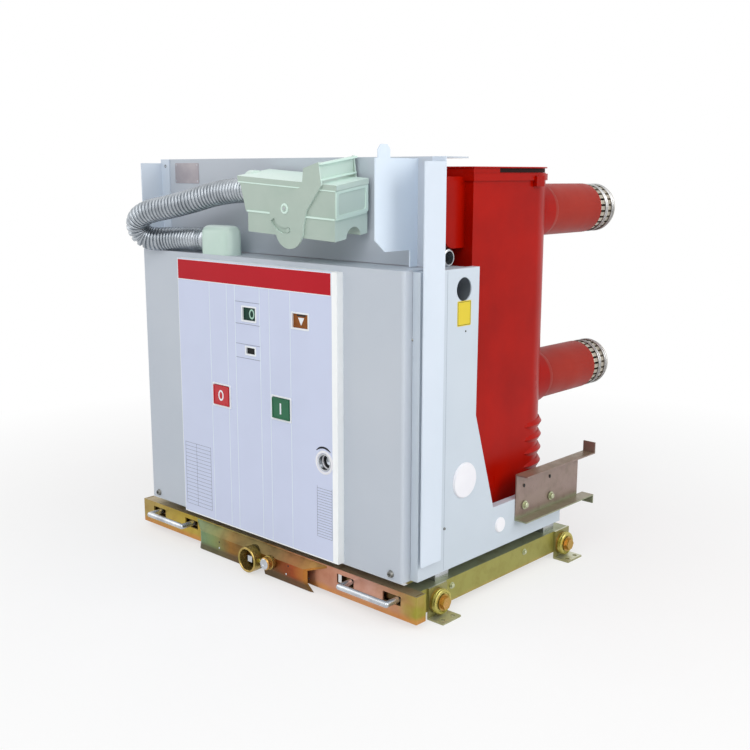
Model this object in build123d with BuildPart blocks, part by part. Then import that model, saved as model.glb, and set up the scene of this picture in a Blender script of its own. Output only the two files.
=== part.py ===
"""Indoor truck-mounted vacuum circuit breaker, rebuilt as separate named pieces.

Units are millimetres.  X runs to the right of someone facing the panel, the panel looks
towards -Y, and Z is up with the floor at zero.  The frame's origin is the middle of the
breaker on the floor.
"""
import math
import os

from build123d import *

os.makedirs("parts", exist_ok=True)

# Overall layout
BEAM_FACE = -291.0          # y of the front beam's face, the datum for every depth below
PHASE_SPACING = 210.0
PHASES = {"left": -PHASE_SPACING, "centre": 0.0, "right": PHASE_SPACING}
UPPER_ARM_HEIGHT = 561.0
ARM_SPACING = 275.0
LOWER_ARM_HEIGHT = UPPER_ARM_HEIGHT - ARM_SPACING
SHEET = 2.0
PLATE = 3.0
RUNNING = 0.05              # radial clearance of a shaft in its hole
EASY = 0.3                  # clearance of a loose fit

# Widths, from the outer poles outwards
SIDE_OUTER = PHASE_SPACING + 96.0
SIDE_THICK = 13.0
SIDE_INNER = SIDE_OUTER - SIDE_THICK
COVER_HALF = SIDE_INNER - 0.5
FRAME_HALF = SIDE_INNER - 1.5
MEMBER_OUTER = SIDE_OUTER + 7.0
RAIL_OUTER = SIDE_OUTER
BEAM_HALF = RAIL_OUTER + 14.0
CHEEK_X = SIDE_OUTER - 44.0

# Front beam and the screw plate on it
BEAM_DEPTH = 20.0
BEAM_BOTTOM = 9.0
BEAM_TOP = 49.5
SCREW_X = -10.0
SCREW_HEIGHT = 23.0
SCREW_RADIUS = 8.0
SCREW_LENGTH = 350.0
BOSS_RADIUS = 20.0
BOSS_REACH = 25.0
SCREW_PLATE_LEFT = -166.0
SCREW_PLATE_RIGHT = 145.0
SCREW_PLATE_CHAMFERS = (24.0, 40.0)     # how far the left and right ends are cut back
SCREW_PLATE_DEPTH = 11.0
SCREW_PLATE_BOTTOM = 1.5
KNOB_X = 33.0
KNOB_HEIGHT = 28.0
KNOB_RADIUS = 10.0
RACKING_TRAVEL = 200.0

# Lock handles
HANDLE_RADIUS = 4.5
HANDLE_WIDTH = 100.0
HANDLE_OUTER = BEAM_HALF - 30.0
HANDLE_INNER = HANDLE_OUTER - HANDLE_WIDTH
HANDLE_HEIGHT = 37.0
HANDLE_REACH = 24.0
HANDLE_TRAVEL = 22.0
HANDLE_SHIFTS = {"left": 16.5, "right": 0.0}    # how far each stands in from its outer stop
SLOT_LOW = 28.0
SLOT_HIGH = 42.0
TONGUE_LOW = 30.0
TONGUE_HIGH = 43.0
TONGUE_THICK = 5.0

# Rails and wheels
RAIL_WIDTH = 30.0
RAIL_BOTTOM = 11.6
RAIL_TOP = 47.0
RAIL_FRONT = 22.0
RAIL_REAR = 398.0
AXLES = {"front": 60.0, "rear": 380.0}
AXLE_HEIGHT = 24.0
AXLE_RADIUS = 5.0
WHEEL_RADIUS = 18.5
WHEEL_WIDTH = 8.0
WHEEL_GAP = 0.3
FOOT_REACH = RAIL_OUTER + 29.0
FOOT_LENGTH = 40.0
FOOT_HOLE_RADIUS = 3.5
FOOT_HOLE_SPACING = 22.0
FOOT_HOLE_EDGE = 7.5

# Mechanism housing
SIDE_BOTTOM = RAIL_TOP + 15.0
SIDE_TOP = UPPER_ARM_HEIGHT - 69.0
SIDE_REAR = RAIL_REAR - 23.0
COVER_BOTTOM = SIDE_BOTTOM - 1.0
COVER_TOP = SIDE_TOP + 2.0
COVER_DEPTH = 60.0
COVER_CORNER = 5.0
PANEL_HALF = 181.0
PANEL_BOTTOM = COVER_BOTTOM + 2.0
PANEL_TOP = COVER_TOP - 8.0
PANEL_RISE = 12.0
BUTTON_TRAVEL = 5.0
FRAME_BACK = 146.0

# Side plates
LIFT_HOLE_RADIUS = 16.5
LIFT_HOLE_DEPTH = 111.0
LIFT_HOLE_HEIGHT = SIDE_TOP - 29.0

# Upper cladding
BACK_PLATE_TOP = UPPER_ARM_HEIGHT + 80.5
CHEEK_TOP = BACK_PLATE_TOP - 2.5
MEMBER_BOTTOM = SIDE_BOTTOM + 23.0
MEMBER_TOP = BACK_PLATE_TOP - 6.5
MEMBER_FRONT = 17.0

# Poles
POLE_RADIUS = 67.0
POLE_AXIS = 325.0
POLE_FRONT = 165.0
POLE_BOTTOM = SIDE_BOTTOM + 57.0
POLE_TOP = UPPER_ARM_HEIGHT + 68.0
LID_LIP = 2.0
NECK_HALF = 52.0
NECK_FRONT = 120.0
SHED_PITCH = 21.9
SHED_COUNT = 4
SHED_LOWEST = POLE_BOTTOM + 41.0
ARM_BORE = 20.0
ARM_BOSS_END = 410.0
SLEEVE_ROOT = 42.0
SLEEVE_TIP = 41.5
SLEEVE_END = 556.0
TULIP_RADIUS = 42.0
TULIP_BORE = 24.5
TULIP_BORE_DEPTH = 46.0
TULIP_END = 610.0


def deep(distance):
    """Return the y of a plane this far behind the front beam's face."""
    return BEAM_FACE + distance


def keep(builder, label):
    """Name a finished piece and write its solid."""
    piece = builder.part if hasattr(builder, "part") else builder
    piece.label = label
    export_step(piece, f"parts/{label}.step")
    return piece


def cross_plane(x):
    """Plane square to X at this x, sketched as (y, z)."""
    return Plane(origin=(x, 0, 0), x_dir=(0, 1, 0), z_dir=(1, 0, 0))


def facing_plane(y):
    """Plane square to Y at this y, sketched as (x, z) and facing the front."""
    return Plane(origin=(0, y, 0), x_dir=(1, 0, 0), z_dir=(0, -1, 0))


def slab(x0, x1, y0, y1, z0, z1, mode=Mode.ADD):
    """Add or cut one square block between two corners."""
    with Locations(((x0 + x1) / 2, (y0 + y1) / 2, (z0 + z1) / 2)):
        Box(x1 - x0, y1 - y0, z1 - z0, mode=mode)


# Front beam: a channel open to the back with closed ends and the slots of the lock handles.
GUIDE_BAR = (RAIL_OUTER - 23.0, RAIL_OUTER - 15.0, 17.0, 27.0)
BEND_RELIEF = 1.5
with BuildPart() as front_beam:
    slab(-BEAM_HALF, BEAM_HALF, deep(0), deep(BEAM_DEPTH), BEAM_BOTTOM, BEAM_TOP)
    slab(-BEAM_HALF + PLATE, BEAM_HALF - PLATE, deep(PLATE), deep(BEAM_DEPTH) + 1,
         BEAM_BOTTOM + PLATE, BEAM_TOP - PLATE, Mode.SUBTRACT)
    for side in (-1, 1):
        slab(*sorted((side * (BEAM_HALF - PLATE - BEND_RELIEF), side * (BEAM_HALF - PLATE))),
             deep(PLATE), deep(BEAM_DEPTH) + 1, BEAM_TOP - PLATE - 1, BEAM_TOP + 1, Mode.SUBTRACT)
        for inner in (HANDLE_INNER, HANDLE_OUTER - 2 * HANDLE_RADIUS):
            slab(*sorted((side * (inner - HANDLE_TRAVEL - 2), side * (inner + 2 * HANDLE_RADIUS + 1))),
                 deep(-1), deep(PLATE + 1), SLOT_LOW, SLOT_HIGH, Mode.SUBTRACT)
        slab(*sorted((side * GUIDE_BAR[0], side * GUIDE_BAR[1])),
             deep(PLATE - 1), deep(RAIL_FRONT + RACKING_TRAVEL + 30),
             GUIDE_BAR[2], GUIDE_BAR[3])
    with Locations((SCREW_X, deep(PLATE / 2), SCREW_HEIGHT)):
        Cylinder(SCREW_RADIUS + RUNNING, PLATE + 2, rotation=(90, 0, 0), mode=Mode.SUBTRACT)
keep(front_beam, "front_beam")


def plate_corner(at_beam, cut_back):
    """Cut one end of the screw plate back towards its front, in plan."""
    with BuildSketch(Plane.XY) as corner:
        with BuildLine():
            Polyline((at_beam - 0.1 * cut_back, deep(0.1 * SCREW_PLATE_DEPTH)),
                     (at_beam + 1.1 * cut_back, deep(-1.1 * SCREW_PLATE_DEPTH)),
                     (at_beam - 0.1 * cut_back, deep(-1.1 * SCREW_PLATE_DEPTH)), close=True)
        make_face()
    extrude(corner.sketch, amount=BEAM_TOP + 5, mode=Mode.SUBTRACT)


# Screw plate: folded plate on the beam's middle with the ring around the screw's end.
FOLD_TOP = 48.0
FOLD_LOW = 35.0
LIP_TOP = 15.0
with BuildPart() as screw_plate:
    with BuildSketch(cross_plane(SCREW_PLATE_LEFT)):
        with BuildLine():
            Polyline((deep(0), FOLD_TOP), (deep(-SCREW_PLATE_DEPTH), FOLD_LOW),
                     (deep(-SCREW_PLATE_DEPTH), LIP_TOP),
                     (deep(-SCREW_PLATE_DEPTH + 3), SCREW_PLATE_BOTTOM),
                     (deep(-SCREW_PLATE_DEPTH + 3 + SHEET), SCREW_PLATE_BOTTOM),
                     (deep(-SCREW_PLATE_DEPTH + SHEET), LIP_TOP),
                     (deep(-SCREW_PLATE_DEPTH + SHEET), FOLD_LOW - 1),
                     (deep(0), FOLD_TOP - 3.5), close=True)
        make_face()
    extrude(amount=SCREW_PLATE_RIGHT - SCREW_PLATE_LEFT)
    plate_corner(SCREW_PLATE_LEFT, SCREW_PLATE_CHAMFERS[0])
    plate_corner(SCREW_PLATE_RIGHT, -SCREW_PLATE_CHAMFERS[1])
    slab(SCREW_X - BOSS_RADIUS - 4, SCREW_X + BOSS_RADIUS + 4, deep(-SCREW_PLATE_DEPTH - 1),
         deep(0) - 0.5, 0, LIP_TOP - 3, Mode.SUBTRACT)
    with Locations((SCREW_X, deep(-BOSS_REACH / 2), SCREW_HEIGHT)):
        Cylinder(BOSS_RADIUS, BOSS_REACH, rotation=(90, 0, 0))
        Cylinder(BOSS_RADIUS - PLATE, BOSS_REACH + 2, rotation=(90, 0, 0), mode=Mode.SUBTRACT)
keep(screw_plate, "screw_plate")

# Racking screw: long screw with a squared end for the crank.
with BuildPart() as racking_screw:
    with Locations((SCREW_X, deep(SCREW_LENGTH / 2), SCREW_HEIGHT)):
        Cylinder(SCREW_RADIUS, SCREW_LENGTH, rotation=(90, 0, 0))
    slab(SCREW_X - 5, SCREW_X + 5, deep(-18), deep(0), SCREW_HEIGHT - 5, SCREW_HEIGHT + 5)
    with Locations((SCREW_X, deep(PLATE + 3), SCREW_HEIGHT)):
        Cylinder(SCREW_RADIUS + 2, 6, rotation=(90, 0, 0))
keep(racking_screw, "racking_screw")

# Interlock knob beside the screw.
KNOB_LENGTH = 15.0
with BuildPart() as interlock_knob:
    with Locations((KNOB_X, deep(-SCREW_PLATE_DEPTH - KNOB_LENGTH / 2), KNOB_HEIGHT)):
        Cylinder(KNOB_RADIUS, KNOB_LENGTH, rotation=(90, 0, 0))
    chamfer(interlock_knob.edges().group_by(Axis.Y)[0], 1.5)
keep(interlock_knob, "interlock_knob")


def lock_handle(side, shift):
    """Bar with two bent legs, on the flat tongue that slides behind the beam's face."""
    legs = (HANDLE_INNER + HANDLE_RADIUS - shift, HANDLE_OUTER - HANDLE_RADIUS - shift)
    with BuildPart() as handle:
        middle = side * (legs[0] + legs[1]) / 2
        with Locations((middle, deep(-HANDLE_REACH), HANDLE_HEIGHT)):
            Cylinder(HANDLE_RADIUS, legs[1] - legs[0], rotation=(0, 90, 0))
        for leg in legs:
            with Locations((side * leg, deep((8 - HANDLE_REACH) / 2), HANDLE_HEIGHT)):
                Cylinder(HANDLE_RADIUS, HANDLE_REACH + 8, rotation=(90, 0, 0))
            with Locations((side * leg, deep(-HANDLE_REACH), HANDLE_HEIGHT)):
                Sphere(HANDLE_RADIUS)
        slab(*sorted((side * (HANDLE_INNER - 10 - shift), side * (BEAM_HALF - PLATE - 1 - shift))),
             deep(6), deep(6 + TONGUE_THICK), TONGUE_LOW, TONGUE_HIGH)
    return handle.part


keep(lock_handle(-1, HANDLE_SHIFTS["left"]), "lock_handle_left")
keep(lock_handle(1, HANDLE_SHIFTS["right"]), "lock_handle_right")


def side_rail(side):
    """Channel rail that is open inwards, with holes for the wheel bolts."""
    inner = RAIL_OUTER - RAIL_WIDTH
    with BuildPart() as rail:
        slab(*sorted((side * inner, side * RAIL_OUTER)), deep(RAIL_FRONT), deep(RAIL_REAR),
             RAIL_BOTTOM, RAIL_TOP)
        slab(*sorted((side * (inner - 1), side * (RAIL_OUTER - PLATE))),
             deep(RAIL_FRONT) - 1, deep(RAIL_REAR) + 1,
             RAIL_BOTTOM + PLATE, RAIL_TOP - PLATE, Mode.SUBTRACT)
        for axle in AXLES.values():
            with Locations((side * RAIL_OUTER, deep(axle), AXLE_HEIGHT)):
                Cylinder(AXLE_RADIUS + RUNNING, 20, rotation=(0, 90, 0), mode=Mode.SUBTRACT)
    return rail.part


keep(Compound(children=[side_rail(side) for side in (-1, 1)]), "rails")

# Screw crossmember with the nut block, and the rear tie between the rails.
CROSS_HALF = RAIL_OUTER - RAIL_WIDTH
with BuildPart() as screw_crossmember:
    slab(-CROSS_HALF, CROSS_HALF, deep(96), deep(100), RAIL_BOTTOM, RAIL_TOP)
    slab(-CROSS_HALF, CROSS_HALF, deep(96), deep(126), RAIL_TOP - 4, RAIL_TOP)
    slab(SCREW_X - 18, SCREW_X + 18, deep(100), deep(130), RAIL_BOTTOM, RAIL_BOTTOM + 26)
    with Locations((SCREW_X, deep(115), SCREW_HEIGHT)):
        Cylinder(SCREW_RADIUS + RUNNING, 60, rotation=(90, 0, 0), mode=Mode.SUBTRACT)
keep(screw_crossmember, "screw_crossmember")

with BuildPart() as rear_tie:
    slab(-CROSS_HALF, CROSS_HALF, deep(RAIL_REAR - 40), deep(RAIL_REAR - 37), RAIL_BOTTOM, RAIL_TOP)
    slab(-CROSS_HALF, CROSS_HALF, deep(RAIL_REAR - 40), deep(RAIL_REAR - 14), RAIL_TOP - 3, RAIL_TOP)
keep(rear_tie, "rear_tie")

# Cross bearers: spacer bars between the rails and the breaker's frame.
BEARER_HALF = SIDE_OUTER - 8.0
with BuildPart() as cross_bearers:
    for depth in (RAIL_FRONT + 44, RAIL_REAR - 58):
        slab(-BEARER_HALF, BEARER_HALF, deep(depth), deep(depth + 30), RAIL_TOP, SIDE_BOTTOM)
keep(cross_bearers, "cross_bearers")


def foot_bracket(side, axle):
    """Angle foot with a bolted sole and an upright leg on the wheel's bolt."""
    with BuildPart() as foot:
        slab(*sorted((side * RAIL_OUTER, side * (RAIL_OUTER + PLATE))),
             deep(axle - FOOT_LENGTH / 2), deep(axle + FOOT_LENGTH / 2), 0, RAIL_TOP)
        slab(*sorted((side * RAIL_OUTER, side * FOOT_REACH)),
             deep(axle - FOOT_LENGTH / 2), deep(axle + FOOT_LENGTH / 2), 0, PLATE)
        with Locations((side * (RAIL_OUTER + 1), deep(axle), AXLE_HEIGHT)):
            Cylinder(AXLE_RADIUS + RUNNING, 20, rotation=(0, 90, 0), mode=Mode.SUBTRACT)
        for shift in (-FOOT_HOLE_SPACING / 2, FOOT_HOLE_SPACING / 2):
            with Locations((side * (FOOT_REACH - FOOT_HOLE_EDGE), deep(axle + shift), PLATE / 2)):
                Cylinder(FOOT_HOLE_RADIUS, PLATE + 2, mode=Mode.SUBTRACT)
    return foot.part


def wheel(side, axle):
    """Grooved steel roller."""
    inner = RAIL_OUTER + PLATE + SHEET + WHEEL_GAP
    with BuildPart() as roller:
        with Locations((side * (inner + WHEEL_WIDTH / 2), deep(axle), AXLE_HEIGHT)):
            Cylinder(WHEEL_RADIUS, WHEEL_WIDTH, rotation=(0, 90, 0))
            Cylinder(AXLE_RADIUS + RUNNING, WHEEL_WIDTH + 2, rotation=(0, 90, 0),
                     mode=Mode.SUBTRACT)
    return roller.part


def wheel_bolt(side, axle):
    """Bolt through wheel, foot and rail, with its collar, head and inner nut."""
    leg = RAIL_OUTER + PLATE
    head = leg + SHEET + WHEEL_WIDTH + 2 * WHEEL_GAP
    with BuildPart() as bolt:
        with Locations((side * (RAIL_OUTER - 11 + head) / 2, deep(axle), AXLE_HEIGHT)):
            Cylinder(AXLE_RADIUS, head - RAIL_OUTER + 11, rotation=(0, 90, 0))
        with Locations((side * (leg + 1), deep(axle), AXLE_HEIGHT)):
            Cylinder(WHEEL_RADIUS - 1, SHEET, rotation=(0, 90, 0))
        with Locations((side * (head + 0.6), deep(axle), AXLE_HEIGHT)):
            Cylinder(12, 1.2, rotation=(0, 90, 0))
        with BuildSketch(cross_plane(side * (head + 1.2)).offset(0)):
            with Locations((deep(axle), AXLE_HEIGHT)):
                RegularPolygon(9.5, 6)
        extrude(amount=side * 5)
        with BuildSketch(cross_plane(side * (RAIL_OUTER - PLATE))):
            with Locations((deep(axle), AXLE_HEIGHT)):
                RegularPolygon(9.5, 6)
        extrude(amount=-side * 7)
    return bolt.part


for end, axle in AXLES.items():
    for side, side_name in ((-1, "left"), (1, "right")):
        keep(wheel(side, axle), f"wheel_{end}_{side_name}")
corners = [(side, axle) for axle in AXLES.values() for side in (-1, 1)]
keep(Compound(children=[foot_bracket(*corner) for corner in corners]), "foot_brackets")
keep(Compound(children=[wheel_bolt(*corner) for corner in corners]), "wheel_bolts")

ROOF_TOP = SIDE_TOP - 2.0
# Mechanism frame: floor, back wall and roof that carry the poles and the cover.
with BuildPart() as mechanism_frame:
    slab(-FRAME_HALF, FRAME_HALF, deep(COVER_DEPTH), deep(SIDE_REAR),
         SIDE_BOTTOM, SIDE_BOTTOM + PLATE)
    slab(-FRAME_HALF, FRAME_HALF, deep(FRAME_BACK - PLATE), deep(FRAME_BACK),
         SIDE_BOTTOM, ROOF_TOP)
    slab(-FRAME_HALF, FRAME_HALF, deep(COVER_DEPTH), deep(FRAME_BACK), ROOF_TOP - PLATE, ROOF_TOP)
keep(mechanism_frame, "mechanism_frame")

# Mechanism cover: a pan over the front of the mechanism.
BUTTONS = {"off_button": (-75.3, PANEL_BOTTOM + 213.0), "on_button": (64.1, PANEL_BOTTOM + 213.5)}
BUTTON_WIDTH = 37.0
BUTTON_TALL = 31.0
BUTTON_FIT = 0.5
SOCKET_X = 153.7
SOCKET_HEIGHT = PANEL_BOTTOM + 148.0
SOCKET_RADIUS = 13.0
with BuildPart() as mechanism_cover:
    slab(-COVER_HALF, COVER_HALF, deep(0), deep(COVER_DEPTH), COVER_BOTTOM, COVER_TOP)
    front_edges = mechanism_cover.edges().filter_by(Axis.Z).filter_by_position(
        Axis.Y, deep(-0.1), deep(0.1))
    fillet(front_edges, COVER_CORNER)
    slab(-COVER_HALF + SHEET, COVER_HALF - SHEET, deep(SHEET), deep(COVER_DEPTH) + 1,
         COVER_BOTTOM + SHEET, COVER_TOP - SHEET, Mode.SUBTRACT)
    for x, z in BUTTONS.values():
        slab(x - BUTTON_WIDTH / 2 - 2, x + BUTTON_WIDTH / 2 + 2, deep(-1), deep(SHEET + 1),
             z - BUTTON_TALL / 2 - 2, z + BUTTON_TALL / 2 + 2, Mode.SUBTRACT)
    with Locations((SOCKET_X, deep(0), SOCKET_HEIGHT)):
        Cylinder(SOCKET_RADIUS + EASY, 20, rotation=(90, 0, 0), mode=Mode.SUBTRACT)
keep(mechanism_cover, "mechanism_cover")

# Front panel: raised tray with the operating labels.
WINDOWS = ((-6.0, PANEL_TOP - 75.0, 15.0, 10.0), (106.5, PANEL_TOP - 74.5, 16.5, 10.5),
           (-3.8, PANEL_TOP - 131.0, 10.3, 5.0))
with BuildPart() as front_panel:
    slab(-PANEL_HALF, PANEL_HALF, deep(-PANEL_RISE), deep(0), PANEL_BOTTOM, PANEL_TOP)
    slab(-PANEL_HALF + SHEET, PANEL_HALF - SHEET, deep(-PANEL_RISE + SHEET), deep(0) + 1,
         PANEL_BOTTOM + SHEET, PANEL_TOP - SHEET, Mode.SUBTRACT)
    for x, z in BUTTONS.values():
        slab(x - BUTTON_WIDTH / 2 - BUTTON_FIT, x + BUTTON_WIDTH / 2 + BUTTON_FIT,
             deep(-PANEL_RISE - 1), deep(-PANEL_RISE + SHEET + 1),
             z - BUTTON_TALL / 2 - BUTTON_FIT, z + BUTTON_TALL / 2 + BUTTON_FIT, Mode.SUBTRACT)
    for x, z, half_wide, half_high in WINDOWS:
        slab(x - half_wide, x + half_wide, deep(-PANEL_RISE - 1), deep(-PANEL_RISE + SHEET + 1),
             z - half_high, z + half_high, Mode.SUBTRACT)
    with Locations((SOCKET_X, deep(-PANEL_RISE), SOCKET_HEIGHT)):
        Cylinder(SOCKET_RADIUS + EASY, 20, rotation=(90, 0, 0), mode=Mode.SUBTRACT)
keep(front_panel, "front_panel")

# Indicator windows behind the panel's openings.
with BuildPart() as indicator_windows:
    for x, z, half_wide, half_high in WINDOWS:
        slab(x - half_wide - 4, x + half_wide + 4,
             deep(-PANEL_RISE + SHEET), deep(0), z - half_high - 4, z + half_high + 4)
keep(indicator_windows, "indicator_windows")


def push_button(x, z):
    """Rectangular push button with its stem through the cover."""
    with BuildPart() as button:
        slab(x - BUTTON_WIDTH / 2, x + BUTTON_WIDTH / 2, deep(-PANEL_RISE - 2.5), deep(-3),
             z - BUTTON_TALL / 2, z + BUTTON_TALL / 2)
        slab(x - 6, x + 6, deep(-3), deep(14), z - 6, z + 6)
    return button.part


for name, (x, z) in BUTTONS.items():
    keep(push_button(x, z), name)

# Charging socket: flanged tube with the shaft end of the manual charging drive.
with BuildPart() as charging_socket:
    with Locations((SOCKET_X, deep(14), SOCKET_HEIGHT)):
        Cylinder(SOCKET_RADIUS, 52, rotation=(90, 0, 0))
    with Locations((SOCKET_X, deep(SHEET + PLATE / 2), SOCKET_HEIGHT)):
        Cylinder(SOCKET_RADIUS + 5, PLATE, rotation=(90, 0, 0))
    with Locations((SOCKET_X, deep(10), SOCKET_HEIGHT)):
        Cylinder(SOCKET_RADIUS - SHEET, 50, rotation=(90, 0, 0), mode=Mode.SUBTRACT)
    with Locations((SOCKET_X, deep(18), SOCKET_HEIGHT)):
        Cylinder(6, 40, rotation=(90, 0, 0))
keep(charging_socket, "charging_socket")


SIDE_STEP = SIDE_BOTTOM + 67.0           # height of the side plate's low rear part


def side_plate(side):
    """Shallow pan on the breaker's side, cut away under the poles, with a lifting hole."""
    outline = [(deep(18), SIDE_BOTTOM), (deep(SIDE_REAR), SIDE_BOTTOM),
               (deep(SIDE_REAR), SIDE_STEP), (deep(191), SIDE_STEP), (deep(143.4), SIDE_STEP + 150),
               (deep(FRAME_BACK - 1), SIDE_TOP), (deep(18), SIDE_TOP)]
    with BuildPart() as plate:
        with BuildSketch(cross_plane(side * SIDE_OUTER)):
            with BuildLine():
                Polyline(*outline, close=True)
            make_face()
            fillet(vertices().filter_by_position(Axis.Y, deep(144), deep(FRAME_BACK)), 10)
            lip = offset(amount=-SHEET, mode=Mode.PRIVATE)
        extrude(amount=-side * (SIDE_OUTER - SIDE_INNER))
        with BuildSketch(cross_plane(side * (SIDE_OUTER - SHEET))):
            add(lip)
        extrude(amount=-side * (SIDE_OUTER - SIDE_INNER), mode=Mode.SUBTRACT)
        with Locations((side * SIDE_OUTER, deep(LIFT_HOLE_DEPTH), LIFT_HOLE_HEIGHT)):
            Cylinder(LIFT_HOLE_RADIUS, 20, rotation=(0, 90, 0), mode=Mode.SUBTRACT)
    return plate.part


keep(side_plate(-1), "side_plate_left")
keep(side_plate(1), "side_plate_right")

# Side caps: round plugs in the side plates.
CAPS = ((118.5, SIDE_BOTTOM + 126.0, 25.0), (208.0, SIDE_BOTTOM + 36.0, 10.5))
with BuildPart() as side_caps:
    for side in (-1, 1):
        for depth, height, radius in CAPS:
            with Locations((side * (SIDE_OUTER + 1.5), deep(depth), height)):
                Cylinder(radius, 3, rotation=(0, 90, 0))
keep(side_caps, "side_caps")


STRIP_INNER = SIDE_INNER - 3.0


def side_member(side):
    """Tall folded upright beside the housing."""
    with BuildPart() as member:
        slab(*sorted((side * (MEMBER_OUTER - SHEET), side * MEMBER_OUTER)),
             deep(MEMBER_FRONT), deep(COVER_DEPTH), MEMBER_BOTTOM, MEMBER_TOP)
        slab(*sorted((side * SIDE_OUTER, side * MEMBER_OUTER)),
             deep(COVER_DEPTH - SHEET), deep(COVER_DEPTH), MEMBER_BOTTOM, MEMBER_TOP)
        slab(*sorted((side * STRIP_INNER, side * MEMBER_OUTER)),
             deep(COVER_DEPTH - SHEET), deep(COVER_DEPTH), COVER_TOP + 3, BACK_PLATE_TOP)
    return member.part


keep(Compound(children=[side_member(side) for side in (-1, 1)]), "side_members")

# Back plate between the uprights, with a top flange that runs back.
BACK_PLATE_HALF = MEMBER_OUTER - 3.0
with BuildPart() as back_plate:
    slab(-BACK_PLATE_HALF, BACK_PLATE_HALF, deep(COVER_DEPTH), deep(COVER_DEPTH + SHEET),
         COVER_TOP + 1, BACK_PLATE_TOP)
    slab(-BACK_PLATE_HALF, BACK_PLATE_HALF, deep(COVER_DEPTH), deep(110),
         BACK_PLATE_TOP - SHEET, BACK_PLATE_TOP)
keep(back_plate, "back_plate")

# Cheek plate: upright sheet square to the back plate, with a round-topped tab.
CHEEK_FRONT = -24.0
CHEEK_LOW = COVER_TOP + 24.0
with BuildPart() as cheek_plate:
    with BuildSketch(cross_plane(CHEEK_X)):
        with BuildLine():
            Polyline((deep(COVER_DEPTH), COVER_TOP + 1), (deep(COVER_DEPTH), CHEEK_TOP),
                     (deep(CHEEK_FRONT), CHEEK_TOP), (deep(CHEEK_FRONT), CHEEK_LOW + 15.5),
                     (deep(CHEEK_FRONT + 19.5), CHEEK_LOW), (deep(45), CHEEK_LOW),
                     (deep(45), COVER_TOP + 1), close=True)
        make_face()
        with BuildLine():
            Polyline((deep(-18.5), CHEEK_TOP - 2), (deep(-18.5), CHEEK_TOP + 11),
                     (deep(-13), CHEEK_TOP + 17.5), (deep(-1), CHEEK_TOP + 17.5),
                     (deep(4.4), CHEEK_TOP + 11), (deep(4.4), CHEEK_TOP - 2), close=True)
        make_face()
    extrude(amount=SHEET)
keep(cheek_plate, "cheek_plate")

# Guide brackets: outward channels on the side plates, with ears turned away at their rear.
BRACKET_FRONT = 247.0
BRACKET_WEB_END = 421.0
BRACKET_REAR = 441.0
BRACKET_LOW = 94.0
BRACKET_HIGH = 168.0
BRACKET_REACH = SIDE_OUTER + 22.0


def guide_bracket(side):
    """Outward channel on the side plate that meets the cabinet's shutter drive."""
    across = sorted((side * SIDE_OUTER, side * BRACKET_REACH))
    with BuildPart() as bracket:
        slab(*sorted((side * SIDE_OUTER, side * (SIDE_OUTER + SHEET))),
             deep(BRACKET_FRONT), deep(BRACKET_WEB_END), BRACKET_LOW, BRACKET_HIGH)
        slab(*across, deep(BRACKET_FRONT), deep(BRACKET_REAR), BRACKET_HIGH - SHEET, BRACKET_HIGH)
        slab(*across, deep(BRACKET_FRONT), deep(BRACKET_REAR), BRACKET_LOW, BRACKET_LOW + SHEET)
        slab(*across, deep(BRACKET_REAR - SHEET), deep(BRACKET_REAR),
             BRACKET_HIGH - SHEET, BRACKET_HIGH + 17)
        slab(*across, deep(BRACKET_REAR - SHEET), deep(BRACKET_REAR),
             BRACKET_LOW - 13, BRACKET_LOW + SHEET)
    return bracket.part


keep(Compound(children=[guide_bracket(side) for side in (-1, 1)]), "guide_brackets")


def pole_outline(x, grow=0.0, mode=Mode.ADD):
    """Draw the pole's section, round at the rear and square at the front."""
    with Locations((x, deep(POLE_AXIS))):
        Circle(POLE_RADIUS + grow, mode=mode)
    front = POLE_FRONT - grow
    with Locations((x, deep((front + POLE_AXIS) / 2))):
        Rectangle(2 * (POLE_RADIUS + grow), POLE_AXIS - front, mode=mode)


def pole_ring(x, low, high, grow):
    """Add one plate or band that follows the pole's section."""
    with BuildSketch(Plane.XY.offset(low)) as section:
        pole_outline(x, grow)
    extrude(section.sketch, amount=high - low)


BAND_LOW = POLE_TOP - 20.0
BAND_HIGH = POLE_TOP - 10.0
GROOVE_LOW = POLE_TOP - 8.5
GROOVE_FRONT = 227.0
GROOVE_DEPTH = 4.0
NECK_LOW = UPPER_ARM_HEIGHT - 46.0
NECK_HIGH = BAND_LOW + 6.0
PAD_HALF = 45.0
SHED_RADIUS = POLE_RADIUS + 3.5
SHED_SHIFT = 4.5
BOSS_HALF = 10.0


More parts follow.
